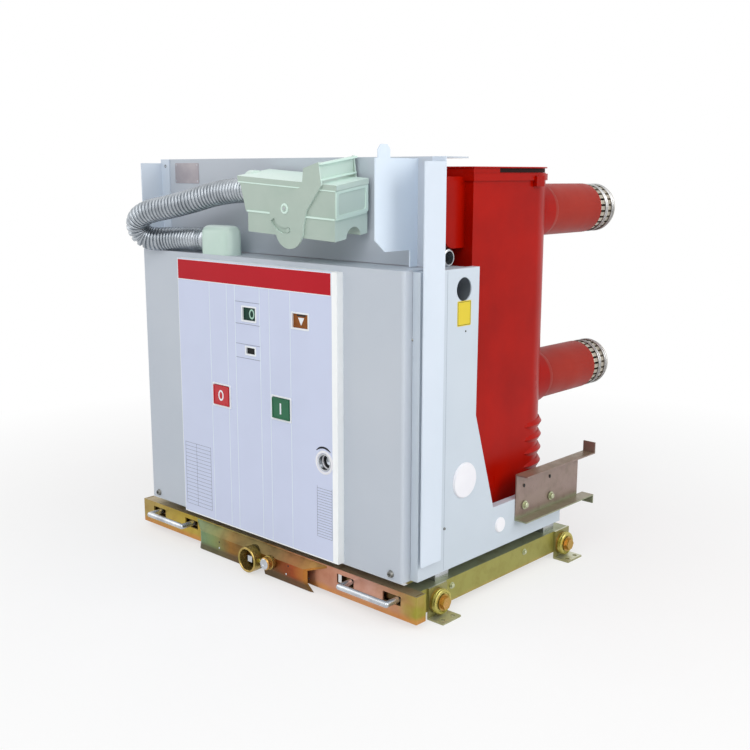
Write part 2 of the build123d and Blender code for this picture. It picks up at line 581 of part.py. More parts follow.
def pole(x):
    """Embedded pole: D-shaped resin column with a neck, lid, sheds and two arm bores."""
    with BuildPart() as column:
        pole_ring(x, POLE_BOTTOM, POLE_TOP - LID_LIP, 0.0)
        pole_ring(x, BAND_LOW, BAND_HIGH, 3.0)
        with BuildSketch(Plane.XY.offset(GROOVE_LOW)):
            pole_outline(x, 1.0)
            pole_outline(x, -GROOVE_DEPTH, Mode.SUBTRACT)
            with Locations((x, deep((GROOVE_FRONT + POLE_FRONT) / 2 - 5))):
                Rectangle(2 * POLE_RADIUS + 20, GROOVE_FRONT - POLE_FRONT + 10, mode=Mode.SUBTRACT)
        extrude(amount=POLE_TOP - LID_LIP - GROOVE_LOW, mode=Mode.SUBTRACT)
        pole_ring(x, POLE_TOP - LID_LIP, POLE_TOP, LID_LIP)
        with BuildSketch(cross_plane(x - NECK_HALF)):
            with BuildLine():
                Polyline((deep(POLE_FRONT + 3), NECK_LOW), (deep(NECK_FRONT + 20), NECK_LOW))
                RadiusArc((deep(NECK_FRONT + 20), NECK_LOW), (deep(NECK_FRONT), NECK_LOW + 20), 20)
                Polyline((deep(NECK_FRONT), NECK_LOW + 20), (deep(NECK_FRONT), NECK_HIGH),
                         (deep(POLE_FRONT + 3), NECK_HIGH), (deep(POLE_FRONT + 3), NECK_LOW))
            make_face()
        extrude(amount=2 * NECK_HALF)
        slab(x - PAD_HALF, x + PAD_HALF, deep(FRAME_BACK), deep(POLE_FRONT + 5),
             SIDE_STEP + 50, ROOF_TOP - 20)
        for index in range(SHED_COUNT):
            with BuildSketch(Plane.XY.offset(SHED_LOWEST + index * SHED_PITCH - 7)):
                with Locations((x, deep(POLE_AXIS + SHED_SHIFT))):
                    Circle(SHED_RADIUS - 4)
            extrude(amount=7, taper=-atan_degrees(4 / 7))
            with BuildSketch(Plane.XY.offset(SHED_LOWEST + index * SHED_PITCH + 7)):
                with Locations((x, deep(POLE_AXIS + SHED_SHIFT))):
                    Circle(SHED_RADIUS - 4)
            extrude(amount=-7, taper=-atan_degrees(4 / 7))
        for side in (-1, 1):
            slab(*sorted((x + side * (POLE_RADIUS - 6), x + side * (POLE_RADIUS + 6))),
                 deep(POLE_AXIS - 2 - BOSS_HALF), deep(POLE_AXIS - 2 + BOSS_HALF),
                 BAND_LOW - 9, BAND_LOW + 7)
        for height in (LOWER_ARM_HEIGHT, UPPER_ARM_HEIGHT):
            with Locations((x, deep((POLE_AXIS + ARM_BOSS_END) / 2), height)):
                Cylinder(SLEEVE_ROOT + 4, ARM_BOSS_END - POLE_AXIS, rotation=(90, 0, 0))
            with Locations((x, deep(POLE_AXIS + 50), height)):
                Cylinder(ARM_BORE, 100, rotation=(90, 0, 0), mode=Mode.SUBTRACT)
    return column.part


def atan_degrees(slope):
    """Return the angle of a slope in degrees."""
    return math.degrees(math.atan(slope))


for phase, x in PHASES.items():
    keep(pole(x), f"pole_{phase}")


def arm_sleeve(x, height):
    """Insulated contact arm from the pole to its contact."""
    with BuildPart() as arm:
        with Locations((x, deep((POLE_AXIS + 2 + SLEEVE_END) / 2), height)):
            Cylinder(ARM_BORE, SLEEVE_END - POLE_AXIS - 2, rotation=(90, 0, 0))
        with BuildSketch(Plane(origin=(x, deep(SLEEVE_END), height), z_dir=(0, -1, 0))):
            Circle(SLEEVE_TIP)
        with BuildSketch(Plane(origin=(x, deep(ARM_BOSS_END), height), z_dir=(0, -1, 0))):
            Circle(SLEEVE_ROOT)
        loft()
    return arm.part


FINGER_RADIUS = TULIP_RADIUS - 2.0
TULIP_BASE = 10.0
SPRING_BANDS = (20.0, 38.0)
SPRING_WIDTH = 4.0


def tulip(x, height):
    """Ring of contact fingers with its base ring and spring bands, as one plain sleeve."""
    with BuildPart() as contact:
        with Locations((x, deep((SLEEVE_END + TULIP_END) / 2), height)):
            Cylinder(FINGER_RADIUS, TULIP_END - SLEEVE_END, rotation=(90, 0, 0))
        with Locations((x, deep(SLEEVE_END + TULIP_BASE / 2), height)):
            Cylinder(TULIP_RADIUS, TULIP_BASE, rotation=(90, 0, 0))
        for band in SPRING_BANDS:
            with Locations((x, deep(SLEEVE_END + band + SPRING_WIDTH / 2), height)):
                Cylinder(TULIP_RADIUS, SPRING_WIDTH, rotation=(90, 0, 0))
        with Locations((x, deep(TULIP_END - TULIP_BORE_DEPTH / 2), height)):
            Cylinder(TULIP_BORE, TULIP_BORE_DEPTH, rotation=(90, 0, 0), mode=Mode.SUBTRACT)
    return contact.part


for level, height in (("upper", UPPER_ARM_HEIGHT), ("lower", LOWER_ARM_HEIGHT)):
    arms = Compound(children=[arm_sleeve(x, height) for x in PHASES.values()])
    keep(arms, f"{level}_contact_arms")
    tulips = Compound(children=[tulip(x, height) for x in PHASES.values()])
    keep(tulips, f"{level}_tulip_contacts")

# Rear conduit: short corrugated wiring conduit on the mechanism frame's roof.
CONDUIT_RADIUS = 12.5
with BuildPart() as rear_conduit:
    with Locations(((SIDE_OUTER - 76), deep(NECK_FRONT + 8), ROOF_TOP + CONDUIT_RADIUS)):
        Cylinder(CONDUIT_RADIUS, 70, rotation=(0, 90, 0))
        Cylinder(CONDUIT_RADIUS - 3, 72, rotation=(0, 90, 0), mode=Mode.SUBTRACT)
    slab(SIDE_OUTER - 106, SIDE_OUTER - 46, deep(NECK_FRONT + 4), deep(NECK_FRONT + 12),
         ROOF_TOP, ROOF_TOP + 2)
keep(rear_conduit, "rear_conduit")

# Control plug: hood and base with a locking lever around both.
PLUG_LEFT = -4.0
PLUG_RIGHT = 179.0
PLUG_FRONT = -12.0
PLUG_REAR = 52.0
PLUG_SEAM = COVER_TOP + 71.0    # height of the seam at the left end
PLUG_FALL = 8.0                 # how much lower it is at the right end
BASE_TALL = 30.0
HOOD_TALL = 46.0
LID_TALL = 7.5
LID_OVER = 4.0
LEVER_X = 81.0
LEVER_HEIGHT = PLUG_SEAM + 5.0
LEVER_PIN = 4.0
LEVER_SHEET = 3.0
HOOK_SWING = 31.0               # from the lever's pivot to the hook's pin
HOOK_ANGLE = 282.7              # direction of the pin from the pivot, in degrees
HOOK_SWEEP = 72.7
HOOK_X = LEVER_X + HOOK_SWING * math.cos(math.radians(HOOK_ANGLE))
HOOK_HEIGHT = LEVER_HEIGHT + HOOK_SWING * math.sin(math.radians(HOOK_ANGLE))
HOOK_PIN = 3.0
HOOK_ROOM = 1.0
PIN_LENGTH = 14.0
HOSE_RADIUS = 19.0
HOSE_HIGH = PLUG_SEAM + 29.5
HOSE_DEPTH = 18.0
COLLAR_END = PLUG_LEFT - 12.0


def seam(x):
    """Return the height of the plug's seam at this x."""
    return PLUG_SEAM - PLUG_FALL * (x - PLUG_LEFT) / (PLUG_RIGHT - PLUG_LEFT)


def sloped_block(left, right, low, high):
    """Add a block of the plug's depth, with edges this far below and above its seam."""
    with BuildSketch(facing_plane(deep(PLUG_REAR))) as side_view:
        with BuildLine():
            Polyline((left, seam(left) + low), (right, seam(right) + low),
                     (right, seam(right) + high), (left, seam(left) + high), close=True)
        make_face()
    extrude(side_view.sketch, amount=PLUG_REAR - PLUG_FRONT)


def plug_pins(x, z, radius):
    """Add the front and rear pins that carry the lever."""
    for y in (PLUG_FRONT + 2, PLUG_REAR - 2):
        with Locations((x, deep(y), z)):
            Cylinder(radius, PIN_LENGTH, rotation=(90, 0, 0))


with BuildPart() as plug_base:
    sloped_block(PLUG_LEFT + 1, PLUG_RIGHT - 1, -BASE_TALL, 0)
    slab(PLUG_RIGHT - 38, PLUG_RIGHT - 3, deep(PLUG_REAR - 1), deep(COVER_DEPTH),
         PLUG_SEAM - PLUG_FALL - BASE_TALL + 2, PLUG_SEAM - PLUG_FALL - 8)
    with Locations((PLUG_RIGHT, deep((PLUG_FRONT + PLUG_REAR) / 2 + 4),
                    PLUG_SEAM - PLUG_FALL - BASE_TALL)):
        Cylinder(14, 60, rotation=(0, 90, 0), mode=Mode.SUBTRACT)
    plug_pins(HOOK_X, HOOK_HEIGHT, HOOK_PIN)
keep(plug_base, "plug_base")

with BuildPart() as plug_hood:
    sloped_block(PLUG_LEFT - 4, PLUG_RIGHT, 0, HOOD_TALL - LID_TALL)
    sloped_block(PLUG_LEFT - 4 - LID_OVER, PLUG_RIGHT + 2, HOOD_TALL - LID_TALL, HOOD_TALL)
    with Locations(((COLLAR_END + PLUG_LEFT) / 2, deep(HOSE_DEPTH), HOSE_HIGH)):
        Cylinder(HOSE_RADIUS + 1, PLUG_LEFT - COLLAR_END, rotation=(0, 90, 0))
    plug_pins(LEVER_X, LEVER_HEIGHT, LEVER_PIN)
keep(plug_hood, "plug_hood")

def from_pivot(*points):
    """Return points given from the lever's pivot as (x, z) of the plug's front view."""
    return [(LEVER_X + x, LEVER_HEIGHT + z) for x, z in points]


with BuildPart() as plug_lever:
    for start in (PLUG_FRONT - LEVER_SHEET - 0.5, PLUG_REAR + 0.5):
        with BuildSketch(facing_plane(deep(start + LEVER_SHEET))):
            with BuildLine():
                ThreePointArc(*from_pivot((37, -25), (15, -55.5), (-20.4, -32.8)))
                Polyline(*from_pivot((-20.4, -32.8), (-30, -21), (-35, 12), (36, 31), (39, 50),
                                     (69, 58), (74, 33), (44, -2), (37, -25)))
            make_face()
            with Locations((LEVER_X, LEVER_HEIGHT)):
                Circle(LEVER_PIN + RUNNING, mode=Mode.SUBTRACT)
            with BuildLine():
                outer = CenterArc((LEVER_X, LEVER_HEIGHT), HOOK_SWING + HOOK_PIN + HOOK_ROOM,
                                  HOOK_ANGLE - HOOK_SWEEP, HOOK_SWEEP)
                inner = CenterArc((LEVER_X, LEVER_HEIGHT), HOOK_SWING - HOOK_PIN - HOOK_ROOM,
                                  HOOK_ANGLE - HOOK_SWEEP, HOOK_SWEEP)
                Line(outer @ 0, inner @ 0)
                Line(outer @ 1, inner @ 1)
            make_face(mode=Mode.SUBTRACT)
            with Locations((HOOK_X, HOOK_HEIGHT)):
                Circle(HOOK_PIN + HOOK_ROOM, mode=Mode.SUBTRACT)
        extrude(amount=LEVER_SHEET)
    slab(LEVER_X + 66, LEVER_X + 69, deep(PLUG_FRONT - LEVER_SHEET - 0.5),
         deep(PLUG_REAR + LEVER_SHEET + 0.5), LEVER_HEIGHT + 39, LEVER_HEIGHT + 57)
keep(plug_lever, "plug_lever")

# Cable gland: rounded box on the cover's top.
GLAND_LEFT = -135.0
HOSE_LOW = COVER_TOP + 21.0
with BuildPart() as cable_gland:
    slab(GLAND_LEFT, GLAND_LEFT + 66, deep(HOSE_DEPTH - 17), deep(HOSE_DEPTH + 17),
         COVER_TOP, COVER_TOP + 45)
    fillet(cable_gland.edges().group_by(Axis.Z)[-1], 14)
keep(cable_gland, "cable_gland")

# Corrugated hose: from the gland's side around to the collar of the plug's hood.
HOSE_POINTS = (
    (GLAND_LEFT, deep(HOSE_DEPTH), HOSE_LOW),
    (GLAND_LEFT - 70, deep(HOSE_DEPTH), HOSE_LOW),
    (GLAND_LEFT - 133, deep(-16), HOSE_LOW - 5),
    (GLAND_LEFT - 127, deep(-34), HOSE_LOW + 38),
    (GLAND_LEFT - 35, deep(-8), HOSE_LOW + 55),
    (COLLAR_END - 68, deep(HOSE_DEPTH), HOSE_HIGH),
    (COLLAR_END, deep(HOSE_DEPTH), HOSE_HIGH),
)


def bend_radii(points, share=0.45):
    """Return each corner's radius, as large as its shorter run gives room for."""
    radii = []
    for before, corner, after in zip(points, points[1:], points[2:]):
        back = [a - b for a, b in zip(corner, before)]
        ahead = [a - b for a, b in zip(after, corner)]
        turn = math.acos(sum(a * b for a, b in zip(back, ahead))
                         / (math.hypot(*back) * math.hypot(*ahead)))
        run = min(math.hypot(*back), math.hypot(*ahead))
        radii.append(round(share * run / math.tan(turn / 2), 1))
    return radii


HOSE_BENDS = bend_radii(HOSE_POINTS)
print("hose bend radii:", HOSE_BENDS)
with BuildPart() as control_hose:
    with BuildLine() as hose_line:
        FilletPolyline(*HOSE_POINTS, radius=HOSE_BENDS)
    with BuildSketch(Plane(origin=HOSE_POINTS[0], z_dir=(-1, 0, 0))):
        Circle(HOSE_RADIUS)
    sweep()
keep(control_hose, "control_hose")
hose_length = hose_line.wire().length
print("hose volume over section times length:",
      round(control_hose.part.volume / (math.pi * HOSE_RADIUS ** 2 * hose_length), 3))
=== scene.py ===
"""Looks of a truck-mounted vacuum circuit breaker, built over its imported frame.

Sizes are written in millimetres and turned to metres as each mesh is made.  A place is
given as x, the depth behind the front beam's face, and the height above the floor, so
every piece stands where the frame's own parts stand.
"""
from __future__ import annotations

import logging
import math
from dataclasses import dataclass, field
from enum import Enum
from typing import Sequence

import bmesh
import bpy
from mathutils import Matrix, Vector


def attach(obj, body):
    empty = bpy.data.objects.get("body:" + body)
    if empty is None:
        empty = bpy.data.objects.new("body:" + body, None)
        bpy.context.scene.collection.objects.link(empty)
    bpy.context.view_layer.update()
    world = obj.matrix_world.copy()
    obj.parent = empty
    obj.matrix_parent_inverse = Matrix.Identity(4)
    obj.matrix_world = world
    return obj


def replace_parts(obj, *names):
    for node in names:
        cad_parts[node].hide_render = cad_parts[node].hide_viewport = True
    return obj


LOG = logging.getLogger("breaker")
Colour = tuple[float, float, float, float]
Point = tuple[float, float, float]
Flat = tuple[float, float]

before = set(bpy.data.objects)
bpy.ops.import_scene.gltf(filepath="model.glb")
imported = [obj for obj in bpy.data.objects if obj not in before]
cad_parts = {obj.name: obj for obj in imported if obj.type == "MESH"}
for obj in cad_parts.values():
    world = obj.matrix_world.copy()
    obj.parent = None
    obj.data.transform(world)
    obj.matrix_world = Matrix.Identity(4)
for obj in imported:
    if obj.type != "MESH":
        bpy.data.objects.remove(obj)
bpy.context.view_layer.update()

MM = 0.001
BEAM_FACE = -291.0
POLES = (-210.0, 0.0, 210.0)
ARM_HEIGHTS = {"upper": 561.0, "lower": 286.0}


def at(x: float, depth: float, height: float) -> Vector:
    """Return a place in metres from x, the depth behind the beam's face and the height."""
    return Vector((x, BEAM_FACE + depth, height)) * MM


def rgb(red: int, green: int, blue: int) -> Colour:
    """Return the linear colour of an 8-bit display colour."""
    def linear(value: int) -> float:
        """Return one channel on the linear scale."""
        share = value / 255.0
        return share / 12.92 if share <= 0.04045 else ((share + 0.055) / 1.055) ** 2.4
    return (linear(red), linear(green), linear(blue), 1.0)


class Wire:
    """A node socket whose arithmetic adds Math nodes to its tree."""

    def __init__(self, graph: Graph, socket: bpy.types.NodeSocket) -> None:
        """Hold the socket and the graph it belongs to."""
        self.graph = graph
        self.socket = socket

    def _math(self, operation: str, left: Wire | float, right: Wire | float = 0.0) -> Wire:
        """Add one Math node.

        Args:
            operation: The node's operation.
            left: First value.
            right: Second value.

        Returns:
            The node's output.
        """
        return self.graph.add("ShaderNodeMath", {"operation": operation}, {0: left, 1: right})

    def __add__(self, other: Wire | float) -> Wire:
        """Add."""
        return self._math("ADD", self, other)

    def __sub__(self, other: Wire | float) -> Wire:
        """Subtract."""
        return self._math("SUBTRACT", self, other)

    def __rsub__(self, other: Wire | float) -> Wire:
        """Subtract from a value."""
        return self._math("SUBTRACT", other, self)

    def __mul__(self, other: Wire | float) -> Wire:
        """Multiply."""
        return self._math("MULTIPLY", self, other)

    __rmul__ = __mul__

    def __truediv__(self, other: Wire | float) -> Wire:
        """Divide."""
        return self._math("DIVIDE", self, other)

    def __gt__(self, other: Wire | float) -> Wire:
        """Return one where this is larger."""
        return self._math("GREATER_THAN", self, other)

    def __lt__(self, other: Wire | float) -> Wire:
        """Return one where this is smaller."""
        return self._math("LESS_THAN", self, other)

    def fraction(self) -> Wire:
        """Return what is left over a whole number."""
        return self._math("FRACT", self)

    def absolute(self) -> Wire:
        """Return the value without its sign."""
        return self._math("ABSOLUTE", self)

    def larger(self, other: Wire | float) -> Wire:
        """Return the larger of two values."""
        return self._math("MAXIMUM", self, other)

    def spread(self, low: float, high: float, to_low: float = 0.0, to_high: float = 1.0) -> Wire:
        """Map a range onto another, clamped.

        Args:
            low: Lower end of the range read.
            high: Upper end of the range read.
            to_low: Value at the lower end.
            to_high: Value at the upper end.

        Returns:
            The mapped value.
        """
        return self.graph.add("ShaderNodeMapRange", {"clamp": True},
                              {"Value": self, "From Min": low, "From Max": high,
                               "To Min": to_low, "To Max": to_high})


class Graph:
    """A node tree and the one way to add nodes to it."""

    def __init__(self, tree: bpy.types.NodeTree) -> None:
        """Hold the tree."""
        self.tree = tree

    def add(self, kind: str, settings: dict[str, object] | None = None,
            inputs: dict[int | str, object] | None = None, output: int | str = 0) -> Wire:
        """Add a node.

        Args:
            kind: The node's type name.
            settings: Node properties, set first; "stops" fills a colour ramp.
            inputs: Values or wires for its sockets, by name or number.
            output: Which output to return.

        Returns:
            The chosen output.
        """
        node = self.tree.nodes.new(kind)
        for key, value in (settings or {}).items():
            if key == "stops":
                ramp = node.color_ramp
                while len(ramp.elements) < len(value):
                    ramp.elements.new(0.5)
                for element, (place, colour) in zip(ramp.elements, value):
                    element.position = place
                    element.color = colour
            else:
                setattr(node, key, value)
        for key, value in (inputs or {}).items():
            if isinstance(value, Wire):
                self.tree.links.new(value.socket, node.inputs[key])
            elif isinstance(value, list):
                for wire in value:
                    self.tree.links.new(wire.socket, node.inputs[key])
            else:
                node.inputs[key].default_value = value
        return Wire(self, node.outputs[output])


class Paint(Graph):
    """One material's node tree and what its recipes use."""

    def __init__(self, name: str) -> None:
        """Start an empty material with its output node."""
        self.material = bpy.data.materials.new(name)
        self.material.use_nodes = True
        super().__init__(self.material.node_tree)
        self.tree.nodes.clear()
        self.out = self.tree.nodes.new("ShaderNodeOutputMaterial")

    def place(self) -> Wire:
        """Return the object coordinates."""
        return self.add("ShaderNodeTexCoord", output="Object")

    def _split(self, vector: Wire) -> tuple[Wire, Wire, Wire]:
        """Return a vector's three values."""
        first = self.add("ShaderNodeSeparateXYZ", inputs={0: vector})
        return tuple(Wire(self, socket) for socket in first.socket.node.outputs)

    def axes(self) -> tuple[Wire, Wire, Wire]:
        """Return x, y and z of the object coordinates."""
        return self._split(self.place())

    def facing(self) -> tuple[Wire, Wire, Wire]:
        """Return x, y and z of the surface's direction."""
        return self._split(self.add("ShaderNodeTexCoord", output="Normal"))

    def noise(self, scale: float, detail: float = 2.0, rough: float = 0.5,
              stretch: Point = (1.0, 1.0, 1.0)) -> Wire:
        """Return noise from zero to one on object coordinates.

        Args:
            scale: Cells a metre.
            detail: Octaves.
            rough: How strong the finer octaves are.
            stretch: Scale along each axis.

        Returns:
            The noise factor.
        """
        spot = self.place()
        if stretch != (1.0, 1.0, 1.0):
            spot = self.add("ShaderNodeVectorMath", {"operation": "MULTIPLY"},
                            {0: spot, 1: stretch})
        return self.add("ShaderNodeTexNoise", None,
                        {"Vector": spot, "Scale": scale, "Detail": detail, "Roughness": rough})

    def mix(self, factor: Wire | float, low: Wire | Colour, high: Wire | Colour,
            blend: str = "MIX") -> Wire:
        """Mix two colours.

        Args:
            factor: Share of the second colour.
            low: First colour.
            high: Second colour.
            blend: Blend type.

        Returns:
            The mixed colour.
        """
        return self.add("ShaderNodeMix",
                        {"data_type": "RGBA", "blend_type": blend, "clamp_factor": True},
                        {0: factor, 6: low, 7: high}, 2)

    def ramp(self, factor: Wire, stops: Sequence[tuple[float, Colour]]) -> Wire:
        """Return a colour ramp's colour."""
        return self.add("ShaderNodeValToRGB", {"stops": stops}, {0: factor})

    def bump(self, height: Wire, strength: float, distance: float) -> Wire:
        """Return a bumped normal.

        Args:
            height: Height from zero to one.
            strength: Share of the bump used.
            distance: Height of one unit in metres.

        Returns:
            The normal.
        """
        return self.add("ShaderNodeBump", None,
                        {"Height": height, "Strength": strength, "Distance": distance})

    def surface(self, **inputs: object) -> bpy.types.Material:
        """Finish the material with one principled surface.

        Args:
            **inputs: Socket values, with spaces written as underscores.

        Returns:
            The finished material.
        """
        named = {key.replace("_", " "): value for key, value in inputs.items()}
        shader = self.add("ShaderNodeBsdfPrincipled", None, named)
        self.tree.links.new(shader.socket, self.out.inputs[0])
        return self.material


@dataclass(frozen=True)
class PowderCoat:
    """Sprayed paint with a fine orange-peel skin and faint handling marks."""

    name: str
    colour: Colour
    shade: Colour
    roughness: float = 0.42
    grain: float = 900.0

    def material(self) -> bpy.types.Material:
        """Return the paint's material."""
        paint = Paint(self.name)
        cloud = paint.noise(5.0, 3.0)
        marks = paint.noise(60.0, 4.0, 0.7)
        peel = paint.noise(self.grain, 2.0)
        return paint.surface(
            Base_Color=paint.mix(cloud.spread(0.35, 0.7), self.colour, self.shade),
            Roughness=(cloud * 0.6 + marks * 0.4).spread(
                0.3, 0.7, self.roughness - 0.05, self.roughness + 0.09),
            Normal=paint.bump(peel, 0.12, 0.0002), Specular_IOR_Level=0.4)


@dataclass(frozen=True)
class CastResin:
    """Cast resin whose gloss and colour drift a little."""

    name: str
    colour: Colour
    shade: Colour
    roughness: float = 0.22
    coat: float = 0.08
    specular: float = 0.16
    flow: float = 30.0

    def material(self) -> bpy.types.Material:
        """Return the resin's material."""
        paint = Paint(self.name)
        drift = paint.noise(9.0, 4.0, 0.6)
        flow = paint.noise(self.flow, 2.0, 0.5, (1.0, 1.0, 0.35))
        specks = paint.noise(260.0, 2.0)
        tone = paint.mix(drift.spread(0.3, 0.72), self.colour, self.shade)
        return paint.surface(
            Base_Color=paint.mix(specks.spread(0.66, 0.8, 0.0, 0.35), tone, self.shade),
            Roughness=flow.spread(0.2, 0.8, self.roughness - 0.05, self.roughness + 0.09),
            Coat_Weight=self.coat, Coat_Roughness=0.14, Specular_IOR_Level=self.specular,
            Normal=paint.bump(flow, 0.12, 0.0006))


@dataclass(frozen=True)
class PassivatedZinc:
    """Zinc-plated sheet whose passivation runs through several hues along x.

    Attributes:
        name: The material's name.
        tones: Pairs of x in millimetres and the hue there.
        painted_light_tone: Painted light, the hue that the faces looking up take as the light falls
            on them.
        downward: Hue near the lower edge.
        edge: Height in millimetres at which the lower hue takes over.
        drift: How far the hues wander, in millimetres.
        roughness: Mean roughness.
        metallic: Share of bare metal.
    """

    name: str
    tones: tuple[tuple[float, Colour], ...]
    painted_light_tone: Colour
    downward: Colour
    edge: float = 12.0
    drift: float = 60.0
    roughness: float = 0.36
    metallic: float = 0.7

    def material(self) -> bpy.types.Material:
        """Return the plating's material."""
        paint = Paint(self.name)
        x, _, z = paint.axes()
        up = paint.facing()[2]
        drift = paint.noise(9.0, 3.0, 0.6, (1.0, 1.0, 2.0))
        cloud = paint.noise(48.0, 3.0, 0.6)
        grain = paint.noise(500.0, 2.0, 0.5, (0.12, 1.0, 1.0))
        low, high = self.tones[0][0], self.tones[-1][0]
        along = (x * (1.0 / MM) + (drift - 0.5) * (4.0 * self.drift)).spread(low, high)
        stops = [((place - low) / (high - low), tone) for place, tone in self.tones]
        tone = paint.ramp(along, stops)
        foot = (z * (1.0 / MM) + (cloud - 0.5) * 8.0).spread(self.edge + 4.0, self.edge - 3.0)
        tone = paint.mix(foot * 0.8, tone, self.downward)
        # Painted light: faces that look up turn to their lit hue.
        tone = paint.mix(up.spread(0.3, 0.8, 0.0, 0.85), tone, self.painted_light_tone)
        tone = paint.mix(cloud.spread(0.45, 0.75, 0.0, 0.3), tone, self.downward, "MULTIPLY")
        return paint.surface(
            Base_Color=tone, Metallic=self.metallic,
            Roughness=(cloud * 0.5 + grain * 0.5).spread(
                0.3, 0.7, self.roughness - 0.08, self.roughness + 0.12),
            Normal=paint.bump(grain, 0.08, 0.0002))


@dataclass(frozen=True)
class PlatedMetal:
    """Plated or machined metal with brushed grain and dull patches."""

    name: str
    colour: Colour
    shade: Colour
    roughness: float = 0.26
    metallic: float = 0.9
    patch: float = 40.0
    painted_shade_behind_beam: Colour | None = None

    def material(self) -> bpy.types.Material:
        """Return the metal's material, with painted shade where it lies behind the beam's face."""
        paint = Paint(self.name)
        cloud = paint.noise(self.patch, 3.0, 0.6)
        grain = paint.noise(900.0, 2.0, 0.5, (0.1, 1.0, 1.0))
        tone = paint.mix(cloud.spread(0.35, 0.68), self.colour, self.shade)
        # Painted shade: the part behind the beam's face turns to a dark hue.
        if self.painted_shade_behind_beam:
            tone = paint.mix(paint.axes()[1] > (BEAM_FACE + 1.0) * MM, tone, self.painted_shade_behind_beam)
        return paint.surface(
            Base_Color=tone,
            Metallic=self.metallic,
            Roughness=(cloud * 0.6 + grain * 0.4).spread(
                0.3, 0.7, self.roughness - 0.08, self.roughness + 0.12),
            Normal=paint.bump(grain, 0.1, 0.0002))


@dataclass(frozen=True)
class MouldedPlastic:
    """Moulded plastic with a faint texture, softly mottled colour and painted light on the faces
    that look up or to the right.
    """

    name: str
    colour: Colour
    shade: Colour
    roughness: float = 0.42
    skin: float = 1200.0
    painted_light_tone: Colour | None = None

    def material(self) -> bpy.types.Material:
        """Return the plastic's material."""
        paint = Paint(self.name)
        cloud = paint.noise(18.0, 3.0)
        skin = paint.noise(self.skin, 1.0)
        tone = paint.mix(cloud.spread(0.35, 0.72), self.colour, self.shade)
        # Painted light: faces that look up or to the right turn lighter.
        if self.painted_light_tone:
            side, _, up = paint.facing()
            lit = up.spread(0.5, 0.95).larger(side.spread(0.6, 0.95, 0.0, 0.55))
            tone = paint.mix(lit, tone, self.painted_light_tone)
        return paint.surface(
            Base_Color=tone,
            Roughness=cloud.spread(0.3, 0.7, self.roughness - 0.05, self.roughness + 0.07),
            Normal=paint.bump(skin, 0.08, 0.0002), Specular_IOR_Level=0.45)


@dataclass(frozen=True)
class PrintedFilm:
    """Printed film on the panel: smooth, even, with a slight satin mottle."""

    name: str
    colour: Colour
    roughness: float = 0.35

    def material(self) -> bpy.types.Material:
        """Return the film's material."""
        paint = Paint(self.name)
        cloud = paint.noise(12.0, 2.0)
        fine = paint.noise(420.0, 2.0)
        shade = tuple(0.95 * value for value in self.colour[:3]) + (1.0,)
        return paint.surface(
            Base_Color=paint.mix(cloud.spread(0.35, 0.7), self.colour, shade),
            Roughness=(cloud * 0.5 + fine * 0.5).spread(
                0.3, 0.7, self.roughness - 0.05, self.roughness + 0.08),
            Normal=paint.bump(fine, 0.05, 0.0002), Specular_IOR_Level=0.2)


@dataclass(frozen=True)
class PrintedPanel:
    """White steel panel whose front carries a tinted film up to a bare edge strip."""

    name: str
    steel: Colour
    film: Colour
    left: float = -180.2
    right: float = 170.4
    low: float = 64.6

    def material(self) -> bpy.types.Material:
        """Return the panel's material."""
        paint = Paint(self.name)
        x, _, z = paint.axes()
        front = paint.facing()[1]
        cloud = paint.noise(10.0, 2.0)
        fine = paint.noise(700.0, 2.0)
        sheet = (front < -0.9) * (x > self.left * MM) * (x < self.right * MM) * (z > self.low * MM)
        tone = paint.mix(sheet, self.steel, self.film)
        return paint.surface(
            Base_Color=paint.mix(cloud.spread(0.35, 0.7, 0.0, 0.05), tone, rgb(120, 130, 150)),
            Roughness=(cloud * 0.5 + fine * 0.5).spread(0.3, 0.7, 0.3, 0.4),
            Normal=paint.bump(fine, 0.06, 0.0002))


@dataclass(frozen=True)
class IndicatorGlass:
    """Clear window over the coloured flags behind the panel.

    Attributes:
        name: The material's name.
        flags: Hues of the switch, charge and counter windows.
        divide: The x that parts the switch window from the charge window.
        shelf: Height below which the counter's window lies.
    """

    name: str
    flags: tuple[Colour, Colour, Colour]
    divide: float = 50.0
    shelf: float = 380.0

    def material(self) -> bpy.types.Material:
        """Return the windows' material, one hue for each window."""
        paint = Paint(self.name)
        x, _, z = paint.axes()
        shade = paint.noise(90.0, 2.0).spread(0.3, 0.8, 0.0, 0.35)
        switch, charge, counter = self.flags
        tone = paint.mix(x > self.divide * MM, switch, charge)
        tone = paint.mix(z < self.shelf * MM, tone, counter)
        return paint.surface(
            Base_Color=paint.mix(shade, tone, (0.01, 0.01, 0.01, 1.0)),
            Roughness=shade.spread(0.0, 0.35, 0.3, 0.4), Specular_IOR_Level=0.2)


